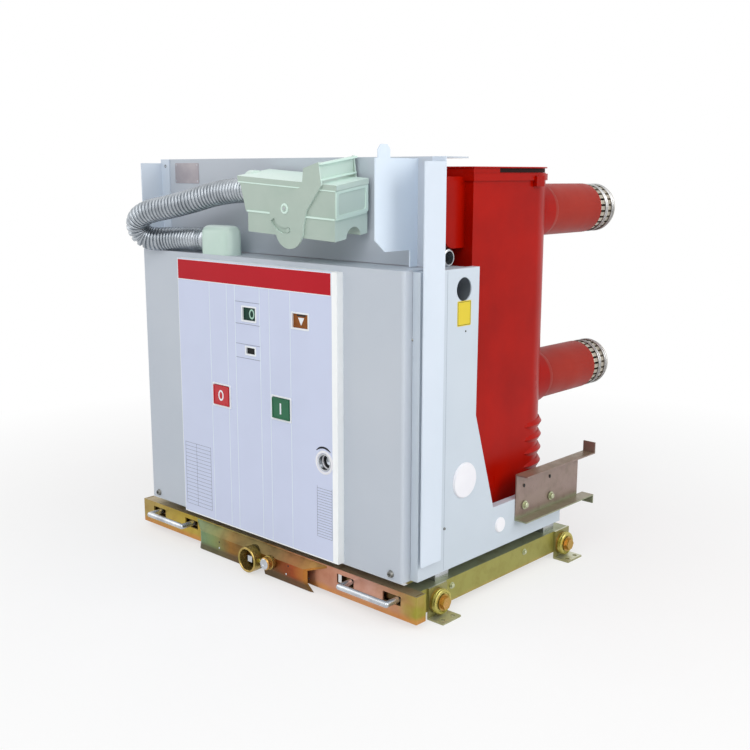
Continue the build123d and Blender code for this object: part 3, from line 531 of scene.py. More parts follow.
class Finish(Enum):
    """The finishes that the breaker's pieces take."""

    HOUSING = PowderCoat("housing grey", rgb(196, 203, 212), rgb(190, 198, 208))
    UPRIGHT = PowderCoat("upright white", rgb(214, 224, 236), rgb(208, 219, 231))
    # Painted light: a lighter copy of the upright white, for the cheek plate.
    CHEEK = PowderCoat("cheek white", rgb(222, 234, 246), rgb(216, 229, 242))
    SIDES = PowderCoat("side grey", rgb(202, 212, 222), rgb(194, 205, 215))
    PANEL = PrintedPanel("panel film", rgb(252, 255, 255), rgb(206, 214, 238))
    LINE = PrintedFilm("film line", rgb(226, 236, 248))
    RULE = PrintedFilm("grey rule", rgb(128, 134, 152), 0.5)
    BAND = PrintedFilm("red band", rgb(186, 14, 32), 0.42)
    PRINT_WHITE = PrintedFilm("white print", rgb(240, 244, 248))
    PRINT_BLACK = PrintedFilm("black print", rgb(24, 26, 34))
    PRINT_GREEN = PrintedFilm("pale green print", rgb(176, 214, 196))
    SEAM = PrintedFilm("seam shade", rgb(160, 170, 184), 0.6)
    # Painted shade for gaps and recesses.
    SHADE = PrintedFilm("dark gap", rgb(34, 10, 8), 0.75)
    YELLOW_LABEL = PrintedFilm("yellow plate", rgb(222, 200, 60), 0.4)
    RESIN = CastResin("pole resin", rgb(170, 14, 0), rgb(146, 8, 0), 0.3, 0.05, 0.08)
    SLEEVE = CastResin("arm sleeve", rgb(162, 46, 32), rgb(144, 34, 24), 0.42, 0.05, 0.1)
    SILVER = PlatedMetal("silvered contact", rgb(190, 182, 168), rgb(158, 150, 136), 0.3)
    # Painted shade: a darker copy of the contact metal, seen between the fingers.
    SHADED = PlatedMetal("shaded contact", rgb(118, 108, 94), rgb(96, 88, 76), 0.45, 0.5)
    SPRING = PlatedMetal("spring steel", rgb(200, 200, 200), rgb(164, 164, 162), 0.3)
    BRIGHT = PlatedMetal("bright steel", rgb(204, 208, 212), rgb(170, 174, 180), 0.22)
    HOSE = PlatedMetal("hose metal", rgb(182, 188, 194), rgb(150, 156, 162), 0.26, 0.9)
    LABEL_METAL = PlatedMetal("label metal", rgb(170, 164, 168), rgb(158, 152, 158), 0.4, 0.6)
    BOLT = PlatedMetal("gold bolt", rgb(196, 150, 84), rgb(168, 140, 60), 0.3, 0.8)
    ROLLER = PlatedMetal("yellow roller", rgb(176, 166, 78), rgb(196, 186, 110), 0.26, 0.8)
    GOLD = PlatedMetal("gold zinc", rgb(186, 158, 92), rgb(150, 140, 66), 0.28, 0.8)
    BRASSY = PlatedMetal("pale zinc", rgb(196, 200, 168), rgb(172, 178, 146), 0.28, 0.7)
    SOLE = PassivatedZinc(
        "foot plating",
        ((-335.0, rgb(150, 146, 96)), (0.0, rgb(150, 146, 100)), (335.0, rgb(150, 146, 96))),
        painted_light_tone=rgb(214, 216, 194), downward=rgb(178, 178, 150), edge=1.0, roughness=0.32)
    # Painted shade: the handles turn dark where they lie behind the beam's face.
    HANDLE = PlatedMetal("handle steel", rgb(204, 208, 212), rgb(170, 174, 180), 0.22,
                         painted_shade_behind_beam=rgb(84, 66, 36))
    # Painted shade: a dark sheet behind the beam's slots, where the inside of the beam is in shade.
    LINER = PlatedMetal("slot liner", rgb(96, 76, 42), rgb(70, 56, 32), 0.5, 0.6)
    SCREW = PlatedMetal("screw steel", rgb(160, 160, 156), rgb(112, 112, 108), 0.28)
    # A dark mark in the charge window, and painted shade in holes and inside the contact fingers.
    DARK = PlatedMetal("dark steel", rgb(34, 32, 30), rgb(22, 22, 22), 0.5, 0.4)
    BEAM = PassivatedZinc(
        "beam plating",
        ((-320.0, rgb(170, 146, 84)), (-200.0, rgb(196, 170, 62)), (-60.0, rgb(150, 138, 78)),
         (120.0, rgb(188, 128, 96)), (235.0, rgb(206, 158, 140)), (285.0, rgb(196, 146, 108)),
         (320.0, rgb(158, 150, 54))),
        painted_light_tone=rgb(172, 156, 122), downward=rgb(206, 140, 74), edge=16.0, drift=22.0)
    APRON = PassivatedZinc(
        "screw plate plating",
        ((-166.0, rgb(106, 146, 118)), (-112.0, rgb(128, 144, 90)), (-66.0, rgb(150, 104, 36)),
         (-20.0, rgb(104, 84, 34)), (50.0, rgb(112, 66, 24)), (90.0, rgb(160, 72, 26)),
         (125.0, rgb(186, 124, 52)), (145.0, rgb(150, 104, 48))),
        painted_light_tone=rgb(104, 96, 58), downward=rgb(84, 66, 34), edge=14.0, drift=14.0)
    RAIL = PassivatedZinc(
        "rail plating",
        ((-320.0, rgb(158, 152, 86)), (0.0, rgb(146, 146, 96)), (320.0, rgb(156, 152, 80))),
        painted_light_tone=rgb(158, 166, 138), downward=rgb(176, 150, 84), edge=13.0)
    BRACKET = PassivatedZinc(
        "bracket plating",
        ((-330.0, rgb(146, 128, 118)), (0.0, rgb(148, 138, 116)), (330.0, rgb(148, 128, 120))),
        painted_light_tone=rgb(150, 140, 118), downward=rgb(150, 158, 128), edge=100.0, drift=90.0,
        roughness=0.34, metallic=0.5)
    MINT = MouldedPlastic("mint plastic", rgb(178, 194, 183), rgb(170, 188, 177),
                          painted_light_tone=rgb(228, 248, 240))
    # Painted light: a paler copy of the mint plastic, for the gland on the cover's top.
    MINT_PALE = MouldedPlastic("pale mint", rgb(202, 224, 214), rgb(194, 218, 207), 0.3,
                               painted_light_tone=rgb(232, 250, 243))
    # Painted highlight: a lighter copy of the mint plastic, for rims and ridges.
    MINT_EDGE = MouldedPlastic("mint edge", rgb(222, 244, 234), rgb(214, 238, 227))
    WHITE = MouldedPlastic("white plastic", rgb(238, 238, 242), rgb(230, 230, 236))
    RED = MouldedPlastic("red button", rgb(196, 30, 40), rgb(186, 26, 36), 0.3)
    GREEN = MouldedPlastic("green button", rgb(14, 104, 66), rgb(12, 94, 60), 0.3)
    WINDOW = IndicatorGlass("indicator glass", (rgb(8, 58, 44), rgb(150, 84, 22),
                                                rgb(6, 8, 12)))

    def __init__(self, recipe: object) -> None:
        """Keep the recipe; its material is made when first asked for."""
        self.recipe = recipe
        self.made: bpy.types.Material | None = None

    def material(self) -> bpy.types.Material:
        """Return the finish's material, made once."""
        if self.made is None:
            self.made = self.recipe.material()
        return self.made


NODE_FINISHES: dict[str, Finish] = {
    "mechanism_cover": Finish.HOUSING, "front_panel": Finish.PANEL,
    "side_plate_left": Finish.SIDES, "side_plate_right": Finish.SIDES,
    "side_members": Finish.UPRIGHT, "back_plate": Finish.HOUSING,
    "cheek_plate": Finish.CHEEK, "mechanism_frame": Finish.SIDES,
    "cross_bearers": Finish.BRIGHT, "pole_left": Finish.RESIN, "pole_centre": Finish.RESIN,
    "pole_right": Finish.RESIN, "upper_contact_arms": Finish.SLEEVE,
    "lower_contact_arms": Finish.SLEEVE, "front_beam": Finish.BEAM,
    "screw_plate": Finish.APRON, "racking_screw": Finish.BRIGHT,
    "interlock_knob": Finish.BOLT, "lock_handle_left": Finish.HANDLE,
    "lock_handle_right": Finish.HANDLE, "rails": Finish.RAIL,
    "screw_crossmember": Finish.RAIL, "rear_tie": Finish.RAIL,
    "guide_brackets": Finish.BRACKET, "foot_brackets": Finish.SOLE,
    "wheel_front_left": Finish.ROLLER, "wheel_front_right": Finish.ROLLER,
    "wheel_rear_left": Finish.ROLLER, "wheel_rear_right": Finish.ROLLER,
    "wheel_bolts": Finish.BOLT, "side_caps": Finish.WHITE, "cable_gland": Finish.MINT,
    "plug_base": Finish.MINT, "plug_hood": Finish.MINT, "plug_lever": Finish.MINT,
    "control_hose": Finish.HOSE, "rear_conduit": Finish.BRIGHT,
    "upper_tulip_contacts": Finish.SILVER, "lower_tulip_contacts": Finish.SILVER,
    "off_button": Finish.RED, "on_button": Finish.GREEN, "indicator_windows": Finish.WINDOW,
    "charging_socket": Finish.BRIGHT,
}


@dataclass(frozen=True)
class Board:
    """A flat face to draw and build on.

    Attributes:
        origin: Its origin in metres.
        right: Direction of the first coordinate.
        up: Direction of the second coordinate.
    """

    origin: Vector
    right: Vector
    up: Vector

    def spot(self, across: float, height: float, lift: float = 0.0) -> Vector:
        """Return a place from millimetres across, up and off the face."""
        return self.origin + (self.right * across + self.up * height + self.out * lift) * MM

    @property
    def out(self) -> Vector:
        """Return the direction off the face."""
        return self.right.cross(self.up)


def front_board(depth: float) -> Board:
    """Return the face that looks forwards at this depth, drawn in x and height."""
    return Board(at(0.0, depth, 0.0), Vector((1, 0, 0)), Vector((0, 0, 1)))


def right_board(x: float) -> Board:
    """Return the face that looks right at this x, drawn in depth and height."""
    return Board(at(x, 0.0, 0.0), Vector((0, 1, 0)), Vector((0, 0, 1)))


def left_board(x: float) -> Board:
    """Return the face that looks left at this x, drawn in minus depth and height."""
    return Board(at(x, 0.0, 0.0), Vector((0, -1, 0)), Vector((0, 0, 1)))


def rear_board(depth: float) -> Board:
    """Return the face that looks backwards at this depth, drawn in minus x and height."""
    return Board(at(0.0, depth, 0.0), Vector((-1, 0, 0)), Vector((0, 0, 1)))


def top_board(height: float) -> Board:
    """Return the face that looks up at this height, drawn in x and depth."""
    return Board(at(0.0, 0.0, height), Vector((1, 0, 0)), Vector((0, 1, 0)))


def side_boards(x: float) -> tuple[tuple[Board, float], tuple[Board, float]]:
    """Return the outer faces at plus and minus x, each with the sign of its depth axis."""
    return ((right_board(x), 1.0), (left_board(-x), -1.0))


def rounded(left: float, low: float, right: float, high: float, radius: float,
            steps: int = 5) -> list[Flat]:
    """Return a rectangle's outline with rounded corners.

    Args:
        left: Left edge.
        low: Lower edge.
        right: Right edge.
        high: Upper edge.
        radius: Radius of the corners.
        steps: Points for each corner, less one.

    Returns:
        The outline, anticlockwise.
    """
    corners = ((right - radius, low + radius, -90.0), (right - radius, high - radius, 0.0),
               (left + radius, high - radius, 90.0), (left + radius, low + radius, 180.0))
    outline = []
    for x, y, start in corners:
        for step in range(steps + 1):
            turn = math.radians(start + 90.0 * step / steps)
            outline.append((x + radius * math.cos(turn), y + radius * math.sin(turn)))
    return outline


def disc(x: float, y: float, radius: float, steps: int = 32) -> list[Flat]:
    """Return a circle's outline."""
    return [(x + radius * math.cos(2 * math.pi * step / steps),
             y + radius * math.sin(2 * math.pi * step / steps)) for step in range(steps)]


def oval(x: float, y: float, radius: float, share: float, shift: float = 0.0) -> list[Flat]:
    """Return a circle's outline drawn in to a share of its width and shifted along x."""
    return [(x + shift + (px - x) * share, py) for px, py in disc(x, y, radius)]


class Mould:
    """A mesh being built from closed pieces, each with its own finish."""

    def __init__(self) -> None:
        """Start empty."""
        self.shape = bmesh.new()
        self.finishes: list[Finish] = []

    def _tone(self, finish: Finish) -> int:
        """Return the slot number of a finish."""
        if finish not in self.finishes:
            self.finishes.append(finish)
        return self.finishes.index(finish)

    def hull(self, rings: Sequence[Sequence[Vector]], finish: Finish, loop: bool = False) -> None:
        """Join rings of equally many points into one closed piece.

        Args:
            rings: The rings in order.
            finish: The piece's finish.
            loop: True where the last ring joins the first, with no end faces.
        """
        tone = self._tone(finish)
        rows = [[self.shape.verts.new(point) for point in ring] for ring in rings]
        made = []
        pairs = list(zip(rows, rows[1:])) + ([(rows[-1], rows[0])] if loop else [])
        for row, after in pairs:
            for index, corner in enumerate(row):
                beside = (index + 1) % len(row)
                made.append(self.shape.faces.new((corner, after[index], after[beside],
                                                  row[beside])))
        if not loop:
            made.append(self.shape.faces.new(rows[0]))
            made.append(self.shape.faces.new(list(reversed(rows[-1]))))
        for face in made:
            face.material_index = tone

    def plate(self, board: Board, outline: Sequence[Flat], low: float, high: float,
              finish: Finish, soft: float = 0.0) -> None:
        """Add a plate on a face.

        Args:
            board: The face.
            outline: The plate's outline on it.
            low: Lift of its under side.
            high: Lift of its outer side.
            finish: Its finish.
            soft: Width of the chamfer around its outer side.
        """
        rings = [[board.spot(x, y, low) for x, y in outline]]
        if soft:
            middle = (sum(x for x, _ in outline) / len(outline),
                      sum(y for _, y in outline) / len(outline))
            reach = max(math.hypot(x - middle[0], y - middle[1]) for x, y in outline)
            share = 1.0 - soft / reach
            rings.append([board.spot(x, y, high - soft) for x, y in outline])
            rings.append([board.spot(middle[0] + (x - middle[0]) * share,
                                     middle[1] + (y - middle[1]) * share, high)
                          for x, y in outline])
        else:
            rings.append([board.spot(x, y, high) for x, y in outline])
        self.hull(rings, finish)

    def frame(self, board: Board, outer: Sequence[Flat], inner: Sequence[Flat], low: float,
              high: float, finish: Finish) -> None:
        """Add a flat frame between two outlines of equally many points."""
        rings = [[board.spot(x, y, lift) for x, y in outline]
                 for outline, lift in ((outer, low), (outer, high), (inner, high), (inner, low))]
        self.hull(rings, finish, loop=True)

    def lathe(self, board: Board, x: float, y: float, profile: Sequence[Flat], finish: Finish,
              steps: int = 40, loop: bool = False) -> None:
        """Turn a profile around an axis that stands on a face.

        Args:
            board: The face.
            x: Where the axis stands on it.
            y: Where the axis stands on it.
            profile: Pairs of radius and lift.
            finish: The piece's finish.
            steps: Faces around the axis.
            loop: True where the profile closes on itself.
        """
        rings = [[board.spot(px, py, lift) for px, py in disc(x, y, radius, steps)]
                 for radius, lift in profile]
        self.hull(rings, finish, loop)

    def mesh(self, name: str) -> bpy.types.Mesh:
        """Return the pieces as one mesh without materials; the mould is used up."""
        bmesh.ops.recalc_face_normals(self.shape, faces=self.shape.faces)
        mesh = bpy.data.meshes.new(name)
        self.shape.to_mesh(mesh)
        self.shape.free()
        return mesh

    def settle(self, name: str, body: str,
               crease: float = 32.0) -> bpy.types.Object:
        """Turn the mesh into an object that rides on a body.

        Args:
            name: The object's name.
            body: The body it rides on.
            crease: Angle in degrees above which an edge stays sharp.

        Returns:
            The object.
        """
        mesh = self.mesh(name)
        for finish in self.finishes:
            mesh.materials.append(finish.material())
        return settle_mesh(mesh, name, body, crease)


def settle_mesh(mesh: bpy.types.Mesh, name: str, body: str,
                crease: float = 32.0) -> bpy.types.Object:
    """Make a finished mesh an object that rides on a body.

    Args:
        mesh: The mesh, in the frame's own place.
        name: The object's name.
        body: The body it rides on.
        crease: Angle in degrees above which an edge stays sharp.

    Returns:
        The object.
    """
    for face in mesh.polygons:
        face.use_smooth = True
    mesh.set_sharp_from_angle(angle=math.radians(crease))
    piece = bpy.data.objects.new(name, mesh)
    bpy.context.scene.collection.objects.link(piece)
    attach(piece, body)
    LOG.info("%s rides on %s with %d faces", name, body, len(mesh.polygons))
    return piece


class Repeat(Graph):
    """A Geometry Nodes tree with named inputs, turned into plain meshes."""

    def __init__(self, name: str) -> None:
        """Start the tree with its geometry sockets."""
        super().__init__(bpy.data.node_groups.new(name, "GeometryNodeTree"))
        face = self.tree.interface
        face.new_socket(name="Geometry", in_out="INPUT", socket_type="NodeSocketGeometry")
        face.new_socket(name="Geometry", in_out="OUTPUT", socket_type="NodeSocketGeometry")
        self.entry = self.tree.nodes.new("NodeGroupInput")
        self.sockets: dict[str, str] = {}

    def source(self) -> Wire:
        """Return the geometry that comes in."""
        return Wire(self, self.entry.outputs[0])

    def value(self, name: str, kind: str = "NodeSocketFloat") -> Wire:
        """Add a named input and return it."""
        item = self.tree.interface.new_socket(name=name, in_out="INPUT", socket_type=kind)
        self.sockets[name] = item.identifier
        return Wire(self, self.entry.outputs[name])

    def vector(self, x: Wire | float, y: Wire | float, z: Wire | float) -> Wire:
        """Return a vector of three values."""
        return self.add("ShaderNodeCombineXYZ", None, {0: x, 1: y, 2: z})

    def moved(self, shape: Wire, shift: Wire) -> Wire:
        """Return a shape shifted by a vector."""
        return self.add("GeometryNodeTransform", None, {"Geometry": shape, "Translation": shift})

    def read(self, name: str, kind: str) -> Wire:
        """Return a named attribute of the source points."""
        return self.add("GeometryNodeInputNamedAttribute", {"data_type": kind}, {"Name": name})

    def close(self, shape: Wire) -> None:
        """End the tree in Realize Instances and Set Material."""
        finish = self.value("Finish", "NodeSocketMaterial")
        real = self.add("GeometryNodeRealizeInstances", None, {"Geometry": shape})
        set_node = self.add("GeometryNodeSetMaterial", None,
                            {"Geometry": real, "Material": finish})
        end = self.tree.nodes.new("NodeGroupOutput")
        self.tree.links.new(set_node.socket, end.inputs[0])

    def run(self, source: bpy.types.Mesh, values: dict[str, object]) -> bpy.types.Mesh:
        """Run the tree on a mesh and return the result as a plain mesh.

        Args:
            source: The mesh that the tree starts from.
            values: Values of the named inputs.

        Returns:
            The new mesh.
        """
        holder = bpy.data.objects.new("source", source)
        bpy.context.scene.collection.objects.link(holder)
        modifier = holder.modifiers.new("nodes", "NODES")
        modifier.node_group = self.tree
        for name, value in values.items():
            modifier[self.sockets[name]] = value
        bpy.context.view_layer.update()
        graph = bpy.context.evaluated_depsgraph_get()
        mesh = bpy.data.meshes.new_from_object(holder.evaluated_get(graph))
        holder.modifiers.clear()
        bpy.data.objects.remove(holder)
        return mesh


@dataclass
class ControlHose:
    """Corrugated steel hose from the gland to the collar of the plug's hood."""

    points: tuple[Point, ...] = (
        (-135.0, -273.0, 515.0), (-205.0, -273.0, 515.0), (-268.0, -307.0, 510.0),
        (-262.0, -325.0, 553.0), (-170.0, -299.0, 570.0), (-84.0, -273.0, 594.5),
        (-16.0, -273.0, 594.5))
    radius: float = 19.0
    groove: float = 2.8
    pitch: float = 6.6
    resolution: int = 150
    length: float = 0.423

    def _line(self) -> bpy.types.Mesh:
        """Return the points of the route's smooth line as a mesh of edges."""
        curve = bpy.data.curves.new("hose_route", "CURVE")
        curve.dimensions = "3D"
        spline = curve.splines.new("NURBS")
        spline.points.add(len(self.points) - 1)
        for point, place in zip(spline.points, self.points):
            point.co = (*(Vector(place) * MM), 1.0)
        spline.order_u = 3
        spline.use_endpoint_u = True
        spline.resolution_u = self.resolution
        route = bpy.data.objects.new("hose_route", curve)
        bpy.context.scene.collection.objects.link(route)
        bpy.context.view_layer.update()
        graph = bpy.context.evaluated_depsgraph_get()
        line = bpy.data.meshes.new_from_object(route.evaluated_get(graph))
        bpy.data.objects.remove(route)
        return line

    def _corrugation(self) -> Repeat:
        """Return the tree that sweeps a ribbed tube along a line."""
        tree = Repeat("hose_corrugation")
        radius, groove, pitch = (tree.value(name) for name in ("Radius", "Groove", "Pitch"))
        curve = tree.add("GeometryNodeMeshToCurve", None, {0: tree.source()})
        along = tree.add("GeometryNodeSplineParameter", output="Length")
        swing = ((along / pitch).fraction() - 0.5).absolute() * 2.0
        dip = swing.spread(0.42, 0.86)
        width = radius - groove * (dip * dip * (3.0 - 2.0 * dip)) - swing * swing * 0.0004
        ring = tree.add("GeometryNodeCurvePrimitiveCircle", None, {"Resolution": 36, "Radius": 1.0})
        tree.close(tree.add("GeometryNodeCurveToMesh", None, {
            "Curve": curve, "Profile Curve": ring, "Scale": width, "Fill Caps": True}))
        return tree

    def build(self) -> None:
        line = self._line()
        path = [tuple(vertex.co) for vertex in line.vertices]
        run = sum((Vector(a) - Vector(b)).length for a, b in zip(path, path[1:]))
        LOG.info("hose line of %d points, %.3f m long", len(path), run)
        mesh = self._corrugation().run(line, {
            "Radius": self.radius * MM, "Groove": self.groove * MM, "Pitch": self.pitch * MM,
            "Finish": Finish.HOSE.material()})
        hose = settle_mesh(mesh, "hose_corrugated", "truck", 60.0)
        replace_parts(hose, "control_hose")


@dataclass
class TulipContacts:
    """Rings of sprung contact fingers at the ends of the arms."""

    start: float = 556.0
    fingers: int = 24
    finger_half: float = 3.25
    finger: tuple[Flat, ...] = (
        (26.0, 5.0), (37.6, 5.0), (38.6, 8.0), (38.6, 46.0), (38.0, 50.0), (35.6, 53.2),
        (30.0, 54.0), (26.2, 53.2), (24.8, 50.5), (25.4, 46.0), (28.5, 42.0), (28.5, 12.0),
        (26.0, 8.0))
    springs: tuple[float, ...] = (18.8, 23.4, 38.8, 43.4)
    spring_ring: float = 39.6
    spring_wire: float = 1.4
    beads: int = 84
    circle: float = 10.0
    # Painted shade: the seat under the fingers takes the dark gap colour.
    seat: tuple[Flat, ...] = (
        (0.5, 0.0), (39.0, 0.0), (39.6, 0.8), (39.6, 2.8), (39.0, 3.4), (25.0, 3.4),
        (24.6, 8.0), (12.0, 8.0), (11.4, 8.8), (0.5, 8.8))
    # Painted shade: two tubes inside the fingers, dark near the seat and mid-grey beyond.
    tubes: tuple[tuple[Flat, Flat, Finish], ...] = (
        ((33.0, 34.6), (3.0, 20.0), Finish.DARK), ((33.0, 36.4), (20.0, 46.0), Finish.SHADED))
    hoops: tuple[Flat, ...] = ((21.0, 22.0), (46.4, 48.6))
    hoop_inner: float = 37.0
    hoop_outer: float = 39.4
    hoop_edge: float = 0.5

    def _finger_mesh(self) -> bpy.types.Mesh:
        """Return one finger standing on the circle, its length along z."""
        mould = Mould()
        mould.hull([[Vector((radius, side * self.finger_half, along)) * MM
                     for radius, along in self.finger] for side in (-1, 1)], Finish.SILVER)
        return mould.mesh("finger")

    def _circle(self) -> Repeat:
        """Return the tree that sets fingers around each arm's axis."""
        tree = Repeat("finger_circle")
        count = tree.value("Count", "NodeSocketInt")
        reach = tree.value("Reach")
        finger = tree.value("Finger", "NodeSocketObject")
        ring = tree.add("GeometryNodeMeshCircle", None, {"Vertices": count, "Radius": reach})
        spot = tree.add("GeometryNodeInputPosition")
        turn = tree.add("FunctionNodeAlignRotationToVector", {"axis": "X", "pivot_axis": "Z"},
                        {"Vector": spot})
        shape = tree.add("GeometryNodeObjectInfo", None, {"Object": finger}, "Geometry")
        back = tree.add("ShaderNodeVectorMath", {"operation": "SCALE"},
                        {0: spot, "Scale": -1.0})
        whole = tree.add("GeometryNodeSetPosition", None, {
            "Geometry": tree.add("GeometryNodeInstanceOnPoints", None,
                                 {"Points": ring, "Instance": shape, "Rotation": turn}),
            "Offset": back})
        real = tree.add("GeometryNodeRealizeInstances", None, {"Geometry": whole})
        laid = tree.add("GeometryNodeTransform", None,
                        {"Geometry": real, "Rotation": (-math.pi / 2, 0.0, 0.0)})
        tree.close(tree.add("GeometryNodeInstanceOnPoints", None,
                            {"Points": tree.source(), "Instance": laid}))
        return tree

    def _coil(self, mould: Mould, board: Board, x: float, y: float, lift: float) -> None:
        """Add one garter spring around the fingers."""
        rings = []
        for bead in range(self.beads * 2):
            turn = math.pi * bead / self.beads
            wire = self.spring_wire * (1.0 if bead % 2 else 0.84)
            ring = []
            for step in range(8):
                tilt = 2 * math.pi * step / 8
                reach = self.spring_ring + wire * math.cos(tilt)
                ring.append(board.spot(x + reach * math.cos(turn), y + reach * math.sin(turn),
                                       lift + wire * math.sin(tilt)))
            rings.append(ring)
        mould.hull(rings, Finish.SPRING, loop=True)

    def build(self) -> None:
        """Build both rows of contacts."""
        finger = bpy.data.objects.new("finger", self._finger_mesh())
        bpy.context.scene.collection.objects.link(finger)
        circle = self._circle()
        board = rear_board(self.start)
        for level, height in ARM_HEIGHTS.items():
            points = bpy.data.meshes.new("arm_ends")
            points.from_pydata([at(x, self.start, height) for x in POLES], [], [])
            mesh = circle.run(points, {"Count": self.fingers, "Reach": self.circle * MM,
                                       "Finger": finger, "Finish": Finish.SILVER.material()})
            clusters = settle_mesh(mesh, f"{level}_contact_fingers", "truck")
            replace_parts(clusters, f"{level}_tulip_contacts")
            mould = Mould()
            for x in POLES:
                # Painted shade: the seat and the tubes inside the fingers are dark.
                mould.lathe(board, -x, height, self.seat, Finish.SHADE, 48)
                for (inner, outer), (low, high), finish in self.tubes:
                    mould.lathe(board, -x, height,
                                ((inner, low), (outer, low), (outer, high), (inner, high)),
                                finish, 48, loop=True)
                inner, outer, edge = self.hoop_inner, self.hoop_outer, self.hoop_edge
                for low, high in self.hoops:
                    mould.lathe(board, -x, height, (
                        (inner, low), (outer - edge, low), (outer, low + edge),
                        (outer, high - edge), (outer - edge, high), (inner, high)),
                        Finish.SILVER, 48, loop=True)
                for lift in self.springs:
                    self._coil(mould, board, -x, height, lift)
            mould.settle(f"{level}_contact_rings", "truck")
        bpy.data.objects.remove(finger)


@dataclass
class ArmCollars:
    """Moulded beads where each arm's sleeve leaves its pole."""

    start: float = 409.0

    def build(self) -> None:
        """Build the beads of all six arms."""
        mould = Mould()
        board = rear_board(self.start)
        for height in ARM_HEIGHTS.values():
            for x in POLES:
                mould.lathe(board, -x, height, (
                    (41.0, 0.0), (44.6, 0.0), (44.6, 1.6), (43.6, 3.0), (43.2, 12.0),
                    (42.4, 14.0), (41.0, 14.0)), Finish.SLEEVE, 56, loop=True)
        mould.settle("arm_collars", "truck")


